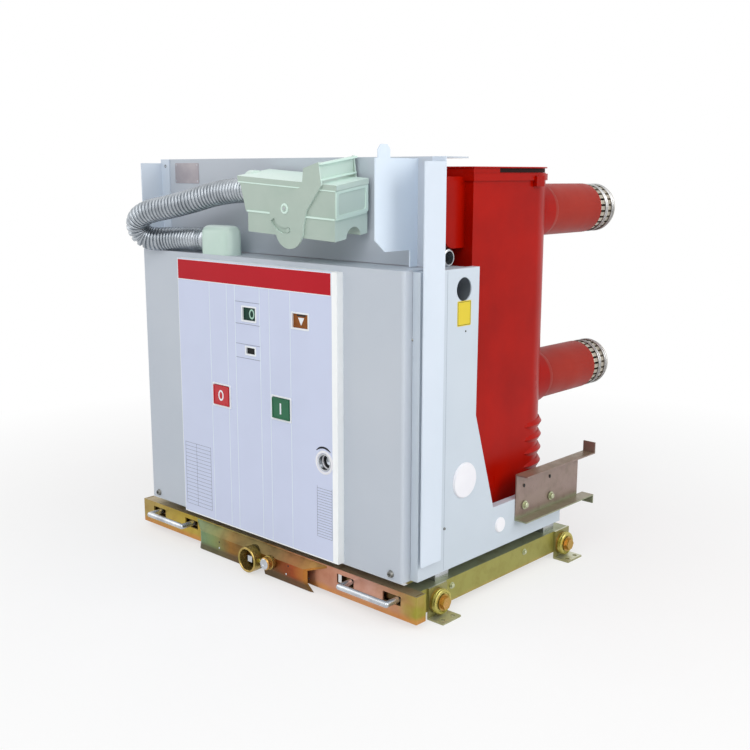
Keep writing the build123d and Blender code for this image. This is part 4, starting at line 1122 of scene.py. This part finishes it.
@dataclass
class PanelPrint:
    """Printed film, bezels and marks of the front panel."""

    face: float = -12.0
    glass: float = -10.0
    band: tuple[float, float, float, float] = (-179.2, 453.4, 168.9, 484.0)
    lines: tuple[float, ...] = (-100.6, -58.6, -39.0, 18.2, 39.8, 85.0)
    rules: tuple[float, ...] = (428.5, 395.0, 364.0, 342.5)
    windows: tuple[tuple[float, float, float, float], ...] = (
        (-6.0, 411.0, 15.0, 10.0), (106.5, 411.5, 16.5, 10.5), (-3.8, 355.0, 10.3, 5.0))
    buttons: tuple[tuple[str, float, float, Finish, str], ...] = (
        ("off", -75.3, 276.0, Finish.RED, "red_plastic"),
        ("on", 64.1, 276.5, Finish.GREEN, "green_plastic"))
    button_face: float = -14.5
    blocks: tuple[tuple[float, float, float, float, float, float], ...] = (
        (-175.0, -108.0, 78.0, 184.0, 6.2, -146.0), (138.5, 170.0, 97.0, 174.0, 4.1, 0.0))
    socket: Flat = (153.7, 211.0)

    def build(self) -> None:
        """Build the film, the bezels and the ruled blocks."""
        board = front_board(self.face)
        mould = Mould()
        left, low, right, high = self.band
        mould.plate(board, rounded(left - 1.0, low - 1.2, right + 1.0, high + 0.8, 0.6), 0.0, 0.2,
                    Finish.PRINT_WHITE)
        mould.plate(board, rounded(left, low, right, high, 0.4), 0.1, 0.28, Finish.BAND)
        for x in self.lines:
            mould.plate(board, rounded(x - 0.7, 66.0, x + 0.7, 451.8, 0.2), 0.0, 0.18, Finish.LINE)
        for height in self.rules:
            mould.plate(board, rounded(-38.0, height - 0.3, 18.0, height + 0.3, 0.1), 0.0, 0.22,
                        Finish.RULE)
        for x, z, wide, tall in self.windows:
            mould.frame(board, rounded(x - wide - 2.2, z - tall - 2.2, x + wide + 2.2,
                                       z + tall + 2.2, 1.4),
                        rounded(x - wide + 0.2, z - tall + 0.2, x + wide - 0.2, z + tall - 0.2,
                                0.4), -1.0, 0.9, Finish.PRINT_WHITE)
        for _, x, z, _, _ in self.buttons:
            mould.frame(board, rounded(x - 22.0, z - 19.0, x + 22.0, z + 19.0, 1.6),
                        rounded(x - 19.4, z - 16.4, x + 19.4, z + 16.4, 0.8), -0.5, 1.4,
                        Finish.PRINT_WHITE)
        mould.lathe(board, *self.socket, (
            (17.8, 0.0), (17.4, 0.9), (14.4, 1.2), (10.6, -7.0), (10.4, -8.5), (14.8, 0.0)),
            Finish.WHITE, 48, loop=True)
        self._arrow(mould, board)
        self._blocks(mould, board)
        mould.settle("panel_print", "truck")
        self._flags()

    def _arrow(self, mould: Mould, board: Board) -> None:
        """Add the bent arrow above the charging socket."""
        x, z = self.socket
        outer, inner = [], []
        for step in range(17):
            share = step / 16
            turn = math.radians(134.0 - 84.0 * share)
            half = 1.5 * min(1.0, 0.35 + 2.2 * share, 3.2 * (1.0 - share) + 0.25)
            outer.append((x - 1.0 + (21.5 + half) * math.cos(turn),
                          z + 0.5 + (21.5 + half) * math.sin(turn)))
            inner.append((x - 1.0 + (21.5 - half) * math.cos(turn),
                          z + 0.5 + (21.5 - half) * math.sin(turn)))
        mould.plate(board, outer + inner[::-1], 0.0, 0.24, Finish.PRINT_BLACK)

    def _blocks(self, mould: Mould, board: Board) -> None:
        """Add the two plain ruled blocks."""
        for left, right, low, high, pitch, split in self.blocks:
            height = low
            while height <= high + 0.1:
                mould.plate(board, rounded(left, height - 0.22, right - 1.0, height + 0.22, 0.1, 2),
                            0.0, 0.2, Finish.RULE)
                height += pitch
            edges = (left, right - 1.0) + ((split,) if split else ())
            for x in edges:
                mould.plate(board, rounded(x - 0.2, low, x + 0.2, high, 0.1, 2), 0.0, 0.19,
                            Finish.RULE)

    def _flags(self) -> None:
        """Build the marks behind the glass and on the buttons."""
        board = front_board(self.glass)
        mould = Mould()
        x, z = self.windows[0][:2]
        mould.frame(board, oval(x, z, 7.6, 0.78, 4.0), oval(x, z, 5.2, 0.74, 4.0), 0.0, 0.3,
                    Finish.PRINT_GREEN)
        x, z = self.windows[1][:2]
        mould.plate(board, [(x - 6.4, z + 4.6), (x, z - 6.6), (x + 6.4, z + 4.6)], 0.0, 0.3,
                    Finish.PRINT_WHITE)
        mould.plate(board, [(x - 9.5, z + 6.6), (x + 9.5, z + 6.6), (x + 8.5, z + 9.0),
                            (x - 8.5, z + 9.0)], 0.0, 0.25, Finish.DARK)
        mould.settle("window_flags", "truck")
        board = front_board(self.button_face)
        for kind, x, z, finish, slot in self.buttons:
            mould = Mould()
            if kind == "off":
                mould.frame(board, oval(x, z, 8.6, 0.74), oval(x, z, 5.8, 0.66), -0.1, 0.3,
                            Finish.PRINT_WHITE)
            else:
                mould.plate(board, rounded(x - 1.5, z - 8.4, x + 1.5, z + 8.4, 0.3), -0.1, 0.3,
                            Finish.PRINT_WHITE)
            mould.frame(board, rounded(x - 18.4, z - 15.4, x + 18.4, z + 15.4, 0.6),
                        rounded(x - 16.8, z - 13.8, x + 16.8, z + 13.8, 1.4), -0.2, 0.7, finish)
            mould.settle(f"{kind}_mark", f"{kind}_button")


Fastener = tuple[str, Board, float, float, float, Finish]


@dataclass
class Fasteners:
    """Screws and bolts, set by two trees.

    Attributes:
        screws: Cross-recessed screws: body, board, place on it, head radius, finish.
        bolts: Hexagon bolts on washers, in the same order.
    """

    screws: list[Fastener] = field(default_factory=list)
    bolts: list[Fastener] = field(default_factory=list)

    def plan(self) -> None:
        """List every fastener's place."""
        cover, plate = front_board(0.0), front_board(60.0)
        self.screws += [("truck", cover, 272.5, 71.0, 5.6, Finish.SCREW),
                        ("truck", cover, -272.5, 71.0, 5.6, Finish.SCREW),
                        ("truck", plate, -300.0, 630.0, 3.6, Finish.SCREW),
                        ("truck", plate, -300.0, 512.0, 3.6, Finish.SCREW),
                        ("truck", plate, 300.0, 512.0, 3.6, Finish.SCREW)]
        for board, sign in side_boards(306.0):
            self.screws.append(("truck", board, sign * 75.0, 126.0, 2.4, Finish.SCREW))
            self.bolts += [("truck", board, sign * 94.5, 35.0, 3.4, Finish.BRASSY),
                           ("truck", board, sign * 276.0, 35.5, 3.4, Finish.BRASSY)]
        for board, sign in side_boards(292.5):
            self.screws.append(("truck", board, sign * 19.3, 401.5, 2.6, Finish.SCREW))
        for board, sign in side_boards(309.0):
            self.bolts += [("truck", board, sign * 269.0, 115.0, 4.8, Finish.BRASSY),
                           ("truck", board, sign * 341.0, 113.0, 4.8, Finish.BRASSY)]
        back = rear_board(146.0)
        for x in (-262.0, -105.0, 105.0, 262.0):
            for height in (90.0, 470.0):
                self.bolts.append(("truck", back, x, height, 5.2, Finish.SCREW))

    def _place(self, tree: Repeat, shape: Wire) -> None:
        """End a tree by setting its shape on every point, turned and scaled."""
        turn = tree.add("FunctionNodeAlignRotationToVector", {"axis": "Z"},
                        {"Vector": tree.read("facing", "FLOAT_VECTOR")})
        tree.close(tree.add("GeometryNodeInstanceOnPoints", None, {
            "Points": tree.source(), "Instance": shape, "Rotation": turn,
            "Scale": tree.read("size", "FLOAT")}))

    def _screw(self) -> Repeat:
        """Return the tree of pan heads with a cross recess."""
        tree = Repeat("cross_screw")
        head, slot = tree.value("Head"), tree.value("Slot")
        body = tree.add("GeometryNodeMeshCone", {"fill_type": "NGON"}, {
            "Vertices": 20, "Side Segments": 1, "Fill Segments": 1,
            "Radius Top": 0.72, "Radius Bottom": 1.0, "Depth": head})
        for size in (tree.vector(1.05, slot, head), tree.vector(slot, 1.05, head)):
            bar = tree.moved(tree.add("GeometryNodeMeshCube", None, {"Size": size}),
                             tree.vector(0.0, 0.0, head * 1.02))
            body = tree.add("GeometryNodeMeshBoolean", {"operation": "DIFFERENCE"},
                            {"Mesh 1": body, "Mesh 2": bar})
        self._place(tree, body)
        return tree

    def _bolt(self) -> Repeat:
        """Return the tree of hexagon heads on plain washers."""
        tree = Repeat("hexagon_bolt")
        head, washer = tree.value("Head"), tree.value("Washer")
        parts = []
        for sides, radius, low, depth in ((24, 1.45, 0.0, washer), (6, 1.0, washer, head)):
            parts.append(tree.moved(
                tree.add("GeometryNodeMeshCylinder", {"fill_type": "NGON"}, {
                    "Vertices": sides, "Side Segments": 1, "Fill Segments": 1,
                    "Radius": radius, "Depth": depth}),
                tree.vector(0.0, 0.0, depth * 0.5 + low)))
        top = tree.moved(tree.add("GeometryNodeMeshCone", {"fill_type": "NGON"}, {
            "Vertices": 24, "Side Segments": 1, "Fill Segments": 1, "Radius Top": 0.72,
            "Radius Bottom": 0.86, "Depth": 0.12}), tree.vector(0.0, 0.0, washer + head - 0.01))
        self._place(tree, tree.add("GeometryNodeJoinGeometry", None,
                                   {"Geometry": parts + [top]}))
        return tree

    def build(self) -> None:
        """Build each body's fasteners of each kind and finish."""
        self.plan()
        for kind, tree, rows, sizes in (
                ("screws", self._screw(), self.screws, {"Head": 0.7, "Slot": 0.3}),
                ("bolts", self._bolt(), self.bolts, {"Head": 0.72, "Washer": 0.24})):
            groups = sorted({(body, finish.name) for body, _, _, _, _, finish in rows})
            for body, finish_name in groups:
                chosen = [row for row in rows if (row[0], row[5].name) == (body, finish_name)]
                points = bpy.data.meshes.new("places")
                points.from_pydata([board.spot(x, y, -0.1) for _, board, x, y, _, _ in chosen],
                                   [], [])
                points.attributes.new("facing", "FLOAT_VECTOR", "POINT")
                points.attributes.new("size", "FLOAT", "POINT")
                for index, (_, board, _, _, radius, _) in enumerate(chosen):
                    points.attributes["facing"].data[index].vector = board.out
                    points.attributes["size"].data[index].value = radius * MM
                mesh = tree.run(points, {**sizes, "Finish": Finish[finish_name].material()})
                settle_mesh(mesh, f"{kind}_{finish_name.lower()}_{body}", body)


@dataclass
class PlugDetails:
    """Shell, ridge, end frame and lever of the control plug, as they sit on the plate."""

    left: float = -4.0
    right: float = 179.0
    front: float = -12.0
    rear: float = 52.0
    seam: float = 565.0
    fall: float = 8.0
    pivot: Flat = (81.0, 570.0)
    ridge: float = 1.4
    climb: float = 0.155
    flare: float = 0.32
    taper: float = 0.022
    bar: float = 620.0
    bar_lift: float = 6.0
    shell_height: float = 46.0
    cord_side: float = 10.0
    flare_from: float = 2.0
    lip_span: Flat = (-12.0, 180.0)
    lip_rise: Flat = (37.2, 38.8)
    lip_stand: float = 0.9
    lip_depth: float = 1.2

    def _seam(self, x: float) -> float:
        """Return the seam's height at this x."""
        return self.seam - self.fall * (x - self.left) / (self.right - self.left)

    def _lean(self, mesh: bpy.types.Mesh, lever: bool) -> None:
        """Raise the plug's rear, flare its cord end and draw in its rear face.

        Args:
            mesh: The mesh to move.
            lever: Whether it belongs to the lever.
        """
        for vertex in mesh.vertices:
            x, y, z = (value / MM for value in vertex.co)
            height = z - self._seam(x)
            if lever:
                z += self.bar_lift if z > self.bar else 0.0
            else:
                share = max(0.0, min(1.0, height / self.shell_height))
                z += share * self.taper * (self.right - x)
                if x < self.cord_side and height > self.flare_from:
                    x -= self.flare * height
            depth = y - BEAM_FACE
            z += self.climb * max(0.0, depth - self.front)
            if not lever and depth > self.rear + 0.2:
                y = BEAM_FACE + self.rear + 0.1
            vertex.co = Vector((x, y, z)) * MM

    def _shell(self, node: str, body: str, finish: Finish) -> None:
        """Replace a part of the plug with a leaning copy."""
        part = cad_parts[node]
        mesh = part.data.copy()
        mesh.transform(part.matrix_world)
        merged = bmesh.new()
        merged.from_mesh(mesh)
        bmesh.ops.remove_doubles(merged, verts=merged.verts, dist=1e-6)
        merged.to_mesh(mesh)
        merged.free()
        stale = mesh.attributes.get("custom_normal")
        if stale:
            mesh.attributes.remove(stale)
        self._lean(mesh, node == "plug_lever")
        mesh.materials.clear()
        mesh.materials.append(finish.material())
        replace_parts(settle_mesh(mesh, f"{node}_shell", body), node)

    def build(self) -> None:
        """Build the shells, the fittings of the truck's half and those of the lever."""
        for node, body in (("plug_hood", "truck"), ("plug_base", "truck"),
                           ("plug_lever", "lever")):
            self._shell(node, body, Finish.MINT)
        mould = Mould()
        # Painted highlight: the ridge, end frame, lip and lever trims take the lighter mint.
        outline = rounded(self.left - 4.0 - self.ridge, self.front - self.ridge,
                          self.right + self.ridge, self.rear + self.ridge, 7.0)
        low, high = ([at(x, depth, self._seam(x) + lift) for x, depth in outline]
                     for lift in (-1.2, 1.2))
        mould.hull([low, high], Finish.MINT_EDGE)
        end = right_board(self.right)
        level = self._seam(self.right)
        mould.frame(end, rounded(self.front + 0.5, level + 1.0, self.rear - 0.5, level + 38.0, 2.0),
                    rounded(self.front + 5.0, level + 5.0, self.rear - 5.0, level + 34.0, 3.0),
                    -0.5, 1.5, Finish.MINT_EDGE)
        edge = self.front - self.lip_stand
        lip = [[at(x, edge + step, self._seam(x) + lift)
                    for x, step in ((self.lip_span[0], 0.0), (self.lip_span[1], 0.0),
                                    (self.lip_span[1], self.lip_depth),
                                    (self.lip_span[0], self.lip_depth))]
                   for lift in self.lip_rise]
        mould.hull(lip, Finish.MINT_EDGE)
        fittings = mould.settle("plug_trim", "truck")
        self._lean(fittings.data, False)
        mould = Mould()
        board = front_board(self.front - 3.5)
        x, z = self.pivot
        mould.lathe(board, x, z, ((0.5, -0.2), (7.4, -0.2), (7.4, 0.9), (6.8, 1.4), (4.8, 1.4),
                                  (4.4, 0.4), (3.0, 0.4), (2.8, 1.4), (0.5, 1.4)),
                    Finish.MINT_EDGE, 36)
        mould.lathe(board, x, z, ((0.4, 0.8), (1.9, 0.8), (1.9, 1.8), (1.5, 2.1), (0.4, 2.1)),
                    Finish.BRIGHT, 20)
        top = Board(at(150.0, 0.0, 0.0), Vector((0, 1, 0)), Vector((0, 0, 1)))
        for low, high, reach in ((609.0, 611.4, 5.0), (624.4, 627.0, 6.5)):
            mould.plate(top, rounded(self.front - 3.4, low, self.rear + 3.4, high, 0.9, 3),
                        -0.5, reach, Finish.MINT_EDGE, 0.4)
        fittings = mould.settle("lever_trim", "lever")
        self._lean(fittings.data, True)


@dataclass
class CableGland:
    """Rounded gland on the cover's top."""

    outline: tuple[float, float, float, float] = (-140.0, 1.0, -69.0, 35.0)
    corner: float = 13.0
    levels: tuple[Flat, ...] = (
        (494.0, 0.0), (526.0, 0.0), (530.5, 0.8), (534.5, 2.8), (537.3, 5.8), (538.6, 9.4),
        (539.0, 13.0))

    def build(self) -> None:
        """Build the gland."""
        left, low, right, high = self.outline
        rings = [[at(x, depth, height) for x, depth in
                  rounded(left + inset, low + inset, right - inset, high - inset,
                          max(0.6, self.corner - 0.8 * inset), 8)]
                 for height, inset in self.levels]
        mould = Mould()
        # The gland takes the mint plastic with painted light.
        mould.hull(rings, Finish.MINT_PALE)
        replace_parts(mould.settle("gland_body", "truck", 50.0), "cable_gland")


@dataclass
class LidSlotShade:
    """Painted shade: a dark strip in the recess under each pole's lid, along its sides and around
    its rear.
    """

    front: float = 228.0
    axis: float = 325.0
    reach: tuple[float, float] = (62.8, 65.6)
    height: tuple[float, float] = (620.7, 626.8)

    def build(self) -> None:
        """Build one strip a pole."""
        mould = Mould()
        low, high = self.height
        turns = [math.pi * step / 28 for step in range(29)]
        for x in POLES:
            route = [(1.0, 0.0, self.front)] + [
                (math.cos(turn), math.sin(turn), self.axis) for turn in turns] + [
                (-1.0, 0.0, self.front)]
            mould.hull([[at(x + across * out, depth + along * out, z)
                         for out, z in ((self.reach[0], low), (self.reach[1], low),
                                          (self.reach[1], high), (self.reach[0], high))]
                        for across, along, depth in route], Finish.SHADE)
        mould.settle("lid_slots", "truck")


@dataclass
class RearConduit:
    """Ribbed conduit on the roof beside the outer pole's neck."""

    start: float = 195.0
    depth: float = 128.0
    height: float = 502.5
    length: float = 70.0
    pitch: float = 5.0
    bore: float = 9.6
    root: float = 10.9
    crest: float = 12.4
    roof: float = 490.0
    saddle: tuple[float, float, float, float] = (215.0, 113.0, 245.0, 143.0)

    def build(self) -> None:
        """Build the ribbed tube and the saddle plate under it."""
        board = Board(at(self.start, self.depth, self.height), Vector((0, 1, 0)),
                      Vector((0, 0, 1)))
        profile = [(self.bore, 0.0)]
        ribs = int(self.length / self.pitch)
        for rib in range(ribs):
            low = rib * self.pitch
            profile += [(self.root, low), (self.root, low + 0.7), (self.crest, low + 1.5),
                        (self.crest, low + 4.0), (self.root, low + 4.8)]
        profile += [(self.root, self.length), (self.bore, self.length)]
        mould = Mould()
        mould.lathe(board, 0.0, 0.0, profile, Finish.BRIGHT, 36, loop=True)
        mould.plate(top_board(self.roof), rounded(*self.saddle, 3.0), 0.0, 2.0, Finish.BRIGHT,
                    0.5)
        conduit = mould.settle("ribbed_conduit", "truck", 40.0)
        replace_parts(conduit, "rear_conduit")


@dataclass
class Rollers:
    """Flanged rollers of the truck."""

    inner: float = 311.3
    height: float = 24.0
    axles: tuple[tuple[str, float], ...] = (("front", 60.0), ("rear", 380.0))
    profile: tuple[Flat, ...] = (
        (5.2, 0.0), (16.2, 0.0), (18.5, 1.0), (18.5, 3.4), (17.6, 4.0), (17.6, 4.6),
        (18.5, 5.2), (18.5, 6.6), (17.2, 8.0), (14.0, 8.0), (13.4, 7.2), (5.2, 7.2))

    def build(self) -> None:
        """Build the four rollers."""
        for place, depth in self.axles:
            for side, (board, sign) in zip(("right", "left"), side_boards(self.inner)):
                mould = Mould()
                mould.lathe(board, sign * depth, self.height, self.profile, Finish.ROLLER, 56,
                            loop=True)
                roller = mould.settle(f"roller_{place}_{side}", f"wheel_{place}_{side}")
                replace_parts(roller, f"wheel_{place}_{side}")


@dataclass
class BeamDetails:
    """Ring, knob face, stop pin, rivets, and painted shade in the holes and behind the slots of the
    front beam.
    """

    screw: Flat = (-10.0, 23.0)
    knob: Flat = (33.0, 28.0)
    pin: Flat = (12.6, 25.5)
    face: float = -11.0
    holes: tuple[tuple[float, float, float], ...] = (
        (71.5, 31.0, 1.5), (-95.0, 27.0, 1.5), (118.0, 24.0, 1.3))
    rivets: tuple[Flat, ...] = ((-95.0, 17.0), (67.0, 17.0))
    slot_shade_depth: float = 18.6
    slot_shade_rise: Flat = (14.0, 47.0)
    slot_shades: tuple[Flat, ...] = ((-290.0, -158.0), (158.0, 300.0))

    def build(self) -> None:
        """Build the pieces that ride on the beam."""
        board = front_board(self.face)
        mould = Mould()
        mould.lathe(board, *self.screw, (
            (16.8, 0.0), (20.4, 0.0), (20.4, 13.6), (19.6, 14.6), (17.6, 14.6), (16.8, 13.6)),
            Finish.GOLD, 48, loop=True)
        mould.lathe(board, *self.knob, (
            (0.5, 14.8), (8.2, 14.8), (8.6, 15.4), (7.8, 15.9), (3.0, 15.9), (2.6, 15.4),
            (0.5, 15.4)), Finish.BRIGHT, 36)
        mould.lathe(board, *self.knob, (
            (9.9, 2.0), (11.2, 2.4), (11.2, 6.4), (9.9, 6.8)), Finish.GOLD, 36, loop=True)
        mould.lathe(board, *self.pin, ((0.5, 0.0), (3.4, 0.0), (3.4, 7.0), (2.8, 7.6),
                                        (0.5, 7.6)), Finish.ROLLER, 24)
        # Painted shade: dark discs stand for the shade in the holes.
        for x, z, radius in self.holes:
            mould.lathe(board, x, z, ((0.3, -0.3), (radius, -0.3), (radius, 0.12), (0.3, 0.12)),
                        Finish.DARK, 20)
        for x, z in self.rivets:
            mould.lathe(board, x, z, ((0.3, -0.3), (1.7, -0.3), (1.6, 0.3), (0.9, 0.8),
                                         (0.3, 0.9)), Finish.BRIGHT, 20)
        # Painted shade: dark sheets behind the slots stand for the shade inside the beam.
        shade_board = front_board(self.slot_shade_depth)
        low, high = self.slot_shade_rise
        for start, end in self.slot_shades:
            mould.plate(shade_board, rounded(start, low, end, high, 1.0), 0.0, 1.0, Finish.LINER)
        mould.settle("beam_fittings", "beam")


@dataclass
class HousingDetails:
    """Plates, seams, cap rims and painted shade in the holes of the sheet metal."""

    label_depth: float = 60.0
    label: tuple[float, float, float, float] = (-275.0, 602.0, -211.0, 635.0)
    label_margin: float = 3.5
    side: float = 306.0
    bracket: float = 309.0
    plate: tuple[float, float, float, float] = (96.5, 412.0, 126.5, 447.0)
    seam: tuple[float, float, float] = (74.6, 64.0, 490.0)
    holes: tuple[tuple[float, float, float], ...] = (
        (101.3, 206.2, 1.3), (96.7, 200.5, 1.3), (116.0, 404.0, 1.5))
    caps: tuple[tuple[float, float, float], ...] = ((118.5, 188.0, 25.0), (208.0, 98.0, 10.5))
    bracket_holes: tuple[Flat, ...] = ((267.0, 146.7), (338.0, 146.0))
    cover_screw: Flat = (272.5, 71.0)

    def build(self) -> None:
        """Build the pieces that ride on the truck."""
        mould = Mould()
        back = front_board(self.label_depth)
        mould.plate(back, rounded(*self.label, 1.6), -0.1, 0.7, Finish.LABEL_METAL, 0.2)
        left, low, right, high = self.label
        margin = self.label_margin
        for z in (low + margin, high - margin):
            for x in (left + margin, right - margin):
                mould.lathe(back, x, z, ((0.3, 0.4), (1.4, 0.4), (1.3, 0.9), (0.7, 1.2),
                                         (0.3, 1.2)), Finish.BRIGHT, 16)
        near, low, far, high = self.plate
        crease, foot, top = self.seam
        for board, sign in side_boards(self.side):
            left, right = sorted((sign * near, sign * far))
            mould.plate(board, rounded(left, low, right, high, 1.6), -0.1, 0.4,
                        Finish.YELLOW_LABEL)
            mould.frame(board, rounded(left + 1.2, low + 1.2, right - 1.2, high - 1.2, 1.0),
                        rounded(left + 1.8, low + 1.8, right - 1.8, high - 1.8, 0.6), 0.2, 0.46,
                        Finish.PRINT_BLACK)
            mould.plate(board, rounded(sign * crease - 0.35, foot, sign * crease + 0.35, top, 0.1,
                                       2), -0.1, 0.06, Finish.SEAM)
            # Painted shade: dark discs stand for the shade in the holes.
            for depth, height, radius in self.holes:
                mould.lathe(board, sign * depth, height, (
                    (0.3, -0.2), (radius, -0.2), (radius, 0.1), (0.3, 0.1)), Finish.DARK, 16)
            for depth, height, reach in self.caps:
                mould.lathe(board, sign * depth, height, (
                    (reach - 2.2, 2.9), (reach + 0.6, 2.0), (reach + 1.2, 0.9),
                    (reach + 1.2, 0.0), (reach - 2.2, 0.0)), Finish.WHITE, 48, loop=True)
        for board, sign in side_boards(self.bracket):
            # Painted shade: dark ovals stand for the shade in the bracket holes.
            for depth, height in self.bracket_holes:
                mould.plate(board, [(sign * depth + px * 0.7, height + pz) for px, pz in
                                    disc(0.0, 0.0, 3.0, 20)], -0.2, 0.12, Finish.DARK)
        mould.lathe(front_board(0.0), *self.cover_screw, (
            (6.4, 0.0), (7.2, 0.4), (7.8, 0.0), (7.8, -0.2), (6.4, -0.2)), Finish.HOUSING, 32,
            loop=True)
        mould.settle("housing_fittings", "truck")


def dress_nodes(table: dict[str, Finish]) -> None:
    """Give each frame part its finish.

    Args:
        table: Finish by part name.
    """
    for name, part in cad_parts.items():
        finish = table[name]
        if not part.material_slots:
            part.data.materials.append(finish.material())
        for slot in part.material_slots:
            slot.material = finish.material()
        LOG.info("%s takes %s", name, finish.name)


@dataclass
class Studio:
    """Floor, soft lights and the camera."""

    camera_place: Point = (1.1744, -1.2948, 0.6211)
    yaw: float = 42.9
    pitch: float = -11.2
    roll: float = 0.1
    lens: float = 49.22
    sensor: float = 36.0
    near: float = 0.02
    aim: Point = (0.0, 0.0, 0.3)
    floor_half: float = 7.0
    ambient: float = 0.5
    lamps: tuple[tuple[str, Point, float, float], ...] = (
        ("key", (1.4, -2.4, 2.4), 2.2, 38.0), ("fill", (-2.6, -1.8, 1.8), 2.4, 17.0),
        ("side", (2.8, 0.6, 1.6), 1.8, 36.0))

    def build(self) -> None:
        """Build the camera, the floor, the world and the lamps."""
        camera = bpy.data.cameras.new("camera")
        camera.lens = self.lens
        camera.sensor_width = self.sensor
        camera.clip_start = self.near
        holder = bpy.data.objects.new("camera", camera)
        yaw, pitch = math.radians(self.yaw), math.radians(self.pitch)
        turn = (Matrix.Rotation(yaw, 4, "Z") @ Matrix.Rotation(math.pi / 2 + pitch, 4, "X")
                @ Matrix.Rotation(math.radians(self.roll), 4, "Z"))
        holder.matrix_world = Matrix.Translation(self.camera_place) @ turn
        bpy.context.scene.collection.objects.link(holder)
        bpy.context.scene.camera = holder
        self._floor()
        self._world()
        for name, place, size, power in self.lamps:
            self._lamp(name, place, size, power)

    @staticmethod
    def _seen(graph: Graph) -> Wire:
        """Return one for rays from the camera, a mirror-like surface or glass."""
        ray = graph.add("ShaderNodeLightPath", output="Is Camera Ray")
        node = ray.socket.node
        return ray.larger(Wire(graph, node.outputs["Is Glossy Ray"])).larger(
            Wire(graph, node.outputs["Is Transmission Ray"]))

    def _floor(self) -> None:
        """Build the pale floor: seen as near white, it still keeps the shadow."""
        mesh = bpy.data.meshes.new("floor")
        half = self.floor_half
        mesh.from_pydata([(-half, -half, 0), (half, -half, 0), (half, half, 0), (-half, half, 0)],
                         [], [(0, 1, 2, 3)])
        floor = bpy.data.objects.new("floor", mesh)
        bpy.context.scene.collection.objects.link(floor)
        paint = Paint("studio floor")
        mottle = paint.noise(3.0, 2.0)
        pale = paint.add("ShaderNodeBsdfPrincipled", None, {
            "Base Color": paint.mix(mottle.spread(0.3, 0.7), (0.88, 0.88, 0.88, 1),
                                    (0.91, 0.91, 0.91, 1)),
            "Roughness": 0.9})
        white = paint.add("ShaderNodeEmission", None, {"Color": (1, 1, 1, 1), "Strength": 1.0})
        reach = paint.add("ShaderNodeVectorMath", {"operation": "LENGTH"}, {0: paint.place()},
                          "Value")
        share = self._seen(paint) * reach.spread(0.45, 1.3, 0.6, 1.0)
        mixed = paint.add("ShaderNodeMixShader", None, {0: share, 1: pale, 2: white})
        paint.tree.links.new(mixed.socket, paint.out.inputs[0])
        mesh.materials.append(paint.material)

    def _world(self) -> None:
        """Light the scene softly and show the background as white."""
        world = bpy.data.worlds.new("studio")
        world.use_nodes = True
        graph = Graph(world.node_tree)
        graph.tree.nodes.clear()
        soft = graph.add("ShaderNodeBackground", None,
                         {"Color": (1, 1, 1, 1), "Strength": self.ambient})
        white = graph.add("ShaderNodeBackground", None, {"Color": (1, 1, 1, 1), "Strength": 1.0})
        mixed = graph.add("ShaderNodeMixShader", None,
                          {0: self._seen(graph), 1: soft, 2: white})
        out = graph.tree.nodes.new("ShaderNodeOutputWorld")
        graph.tree.links.new(mixed.socket, out.inputs[0])
        bpy.context.scene.world = world

    def _lamp(self, name: str, place: Point, size: float, power: float) -> None:
        """Add a soft square lamp that looks at the breaker's middle.

        Args:
            name: The lamp's name.
            place: Where it stands.
            size: Edge length.
            power: Power in watts.
        """
        light = bpy.data.lights.new(name, "AREA")
        light.size = size
        light.energy = power
        holder = bpy.data.objects.new(name, light)
        aim = Vector(self.aim) - Vector(place)
        holder.matrix_world = (Matrix.Translation(place)
                               @ aim.to_track_quat("-Z", "Y").to_matrix().to_4x4())
        bpy.context.scene.collection.objects.link(holder)


def main() -> None:
    """Build the breaker's looks in order."""
    logging.basicConfig(level=logging.INFO, format="%(name)s: %(message)s")
    bpy.context.scene.view_settings.view_transform = "Standard"
    Studio().build()
    ControlHose().build()
    dress_nodes(NODE_FINISHES)
    for assembly in (TulipContacts(), ArmCollars(), PanelPrint(), PlugDetails(), CableGland(),
                     LidSlotShade(), RearConduit(), Rollers(), BeamDetails(), HousingDetails(),
                     Fasteners()):
        assembly.build()
        LOG.info("%s built", type(assembly).__name__)


if __name__ == "__main__":
    main()
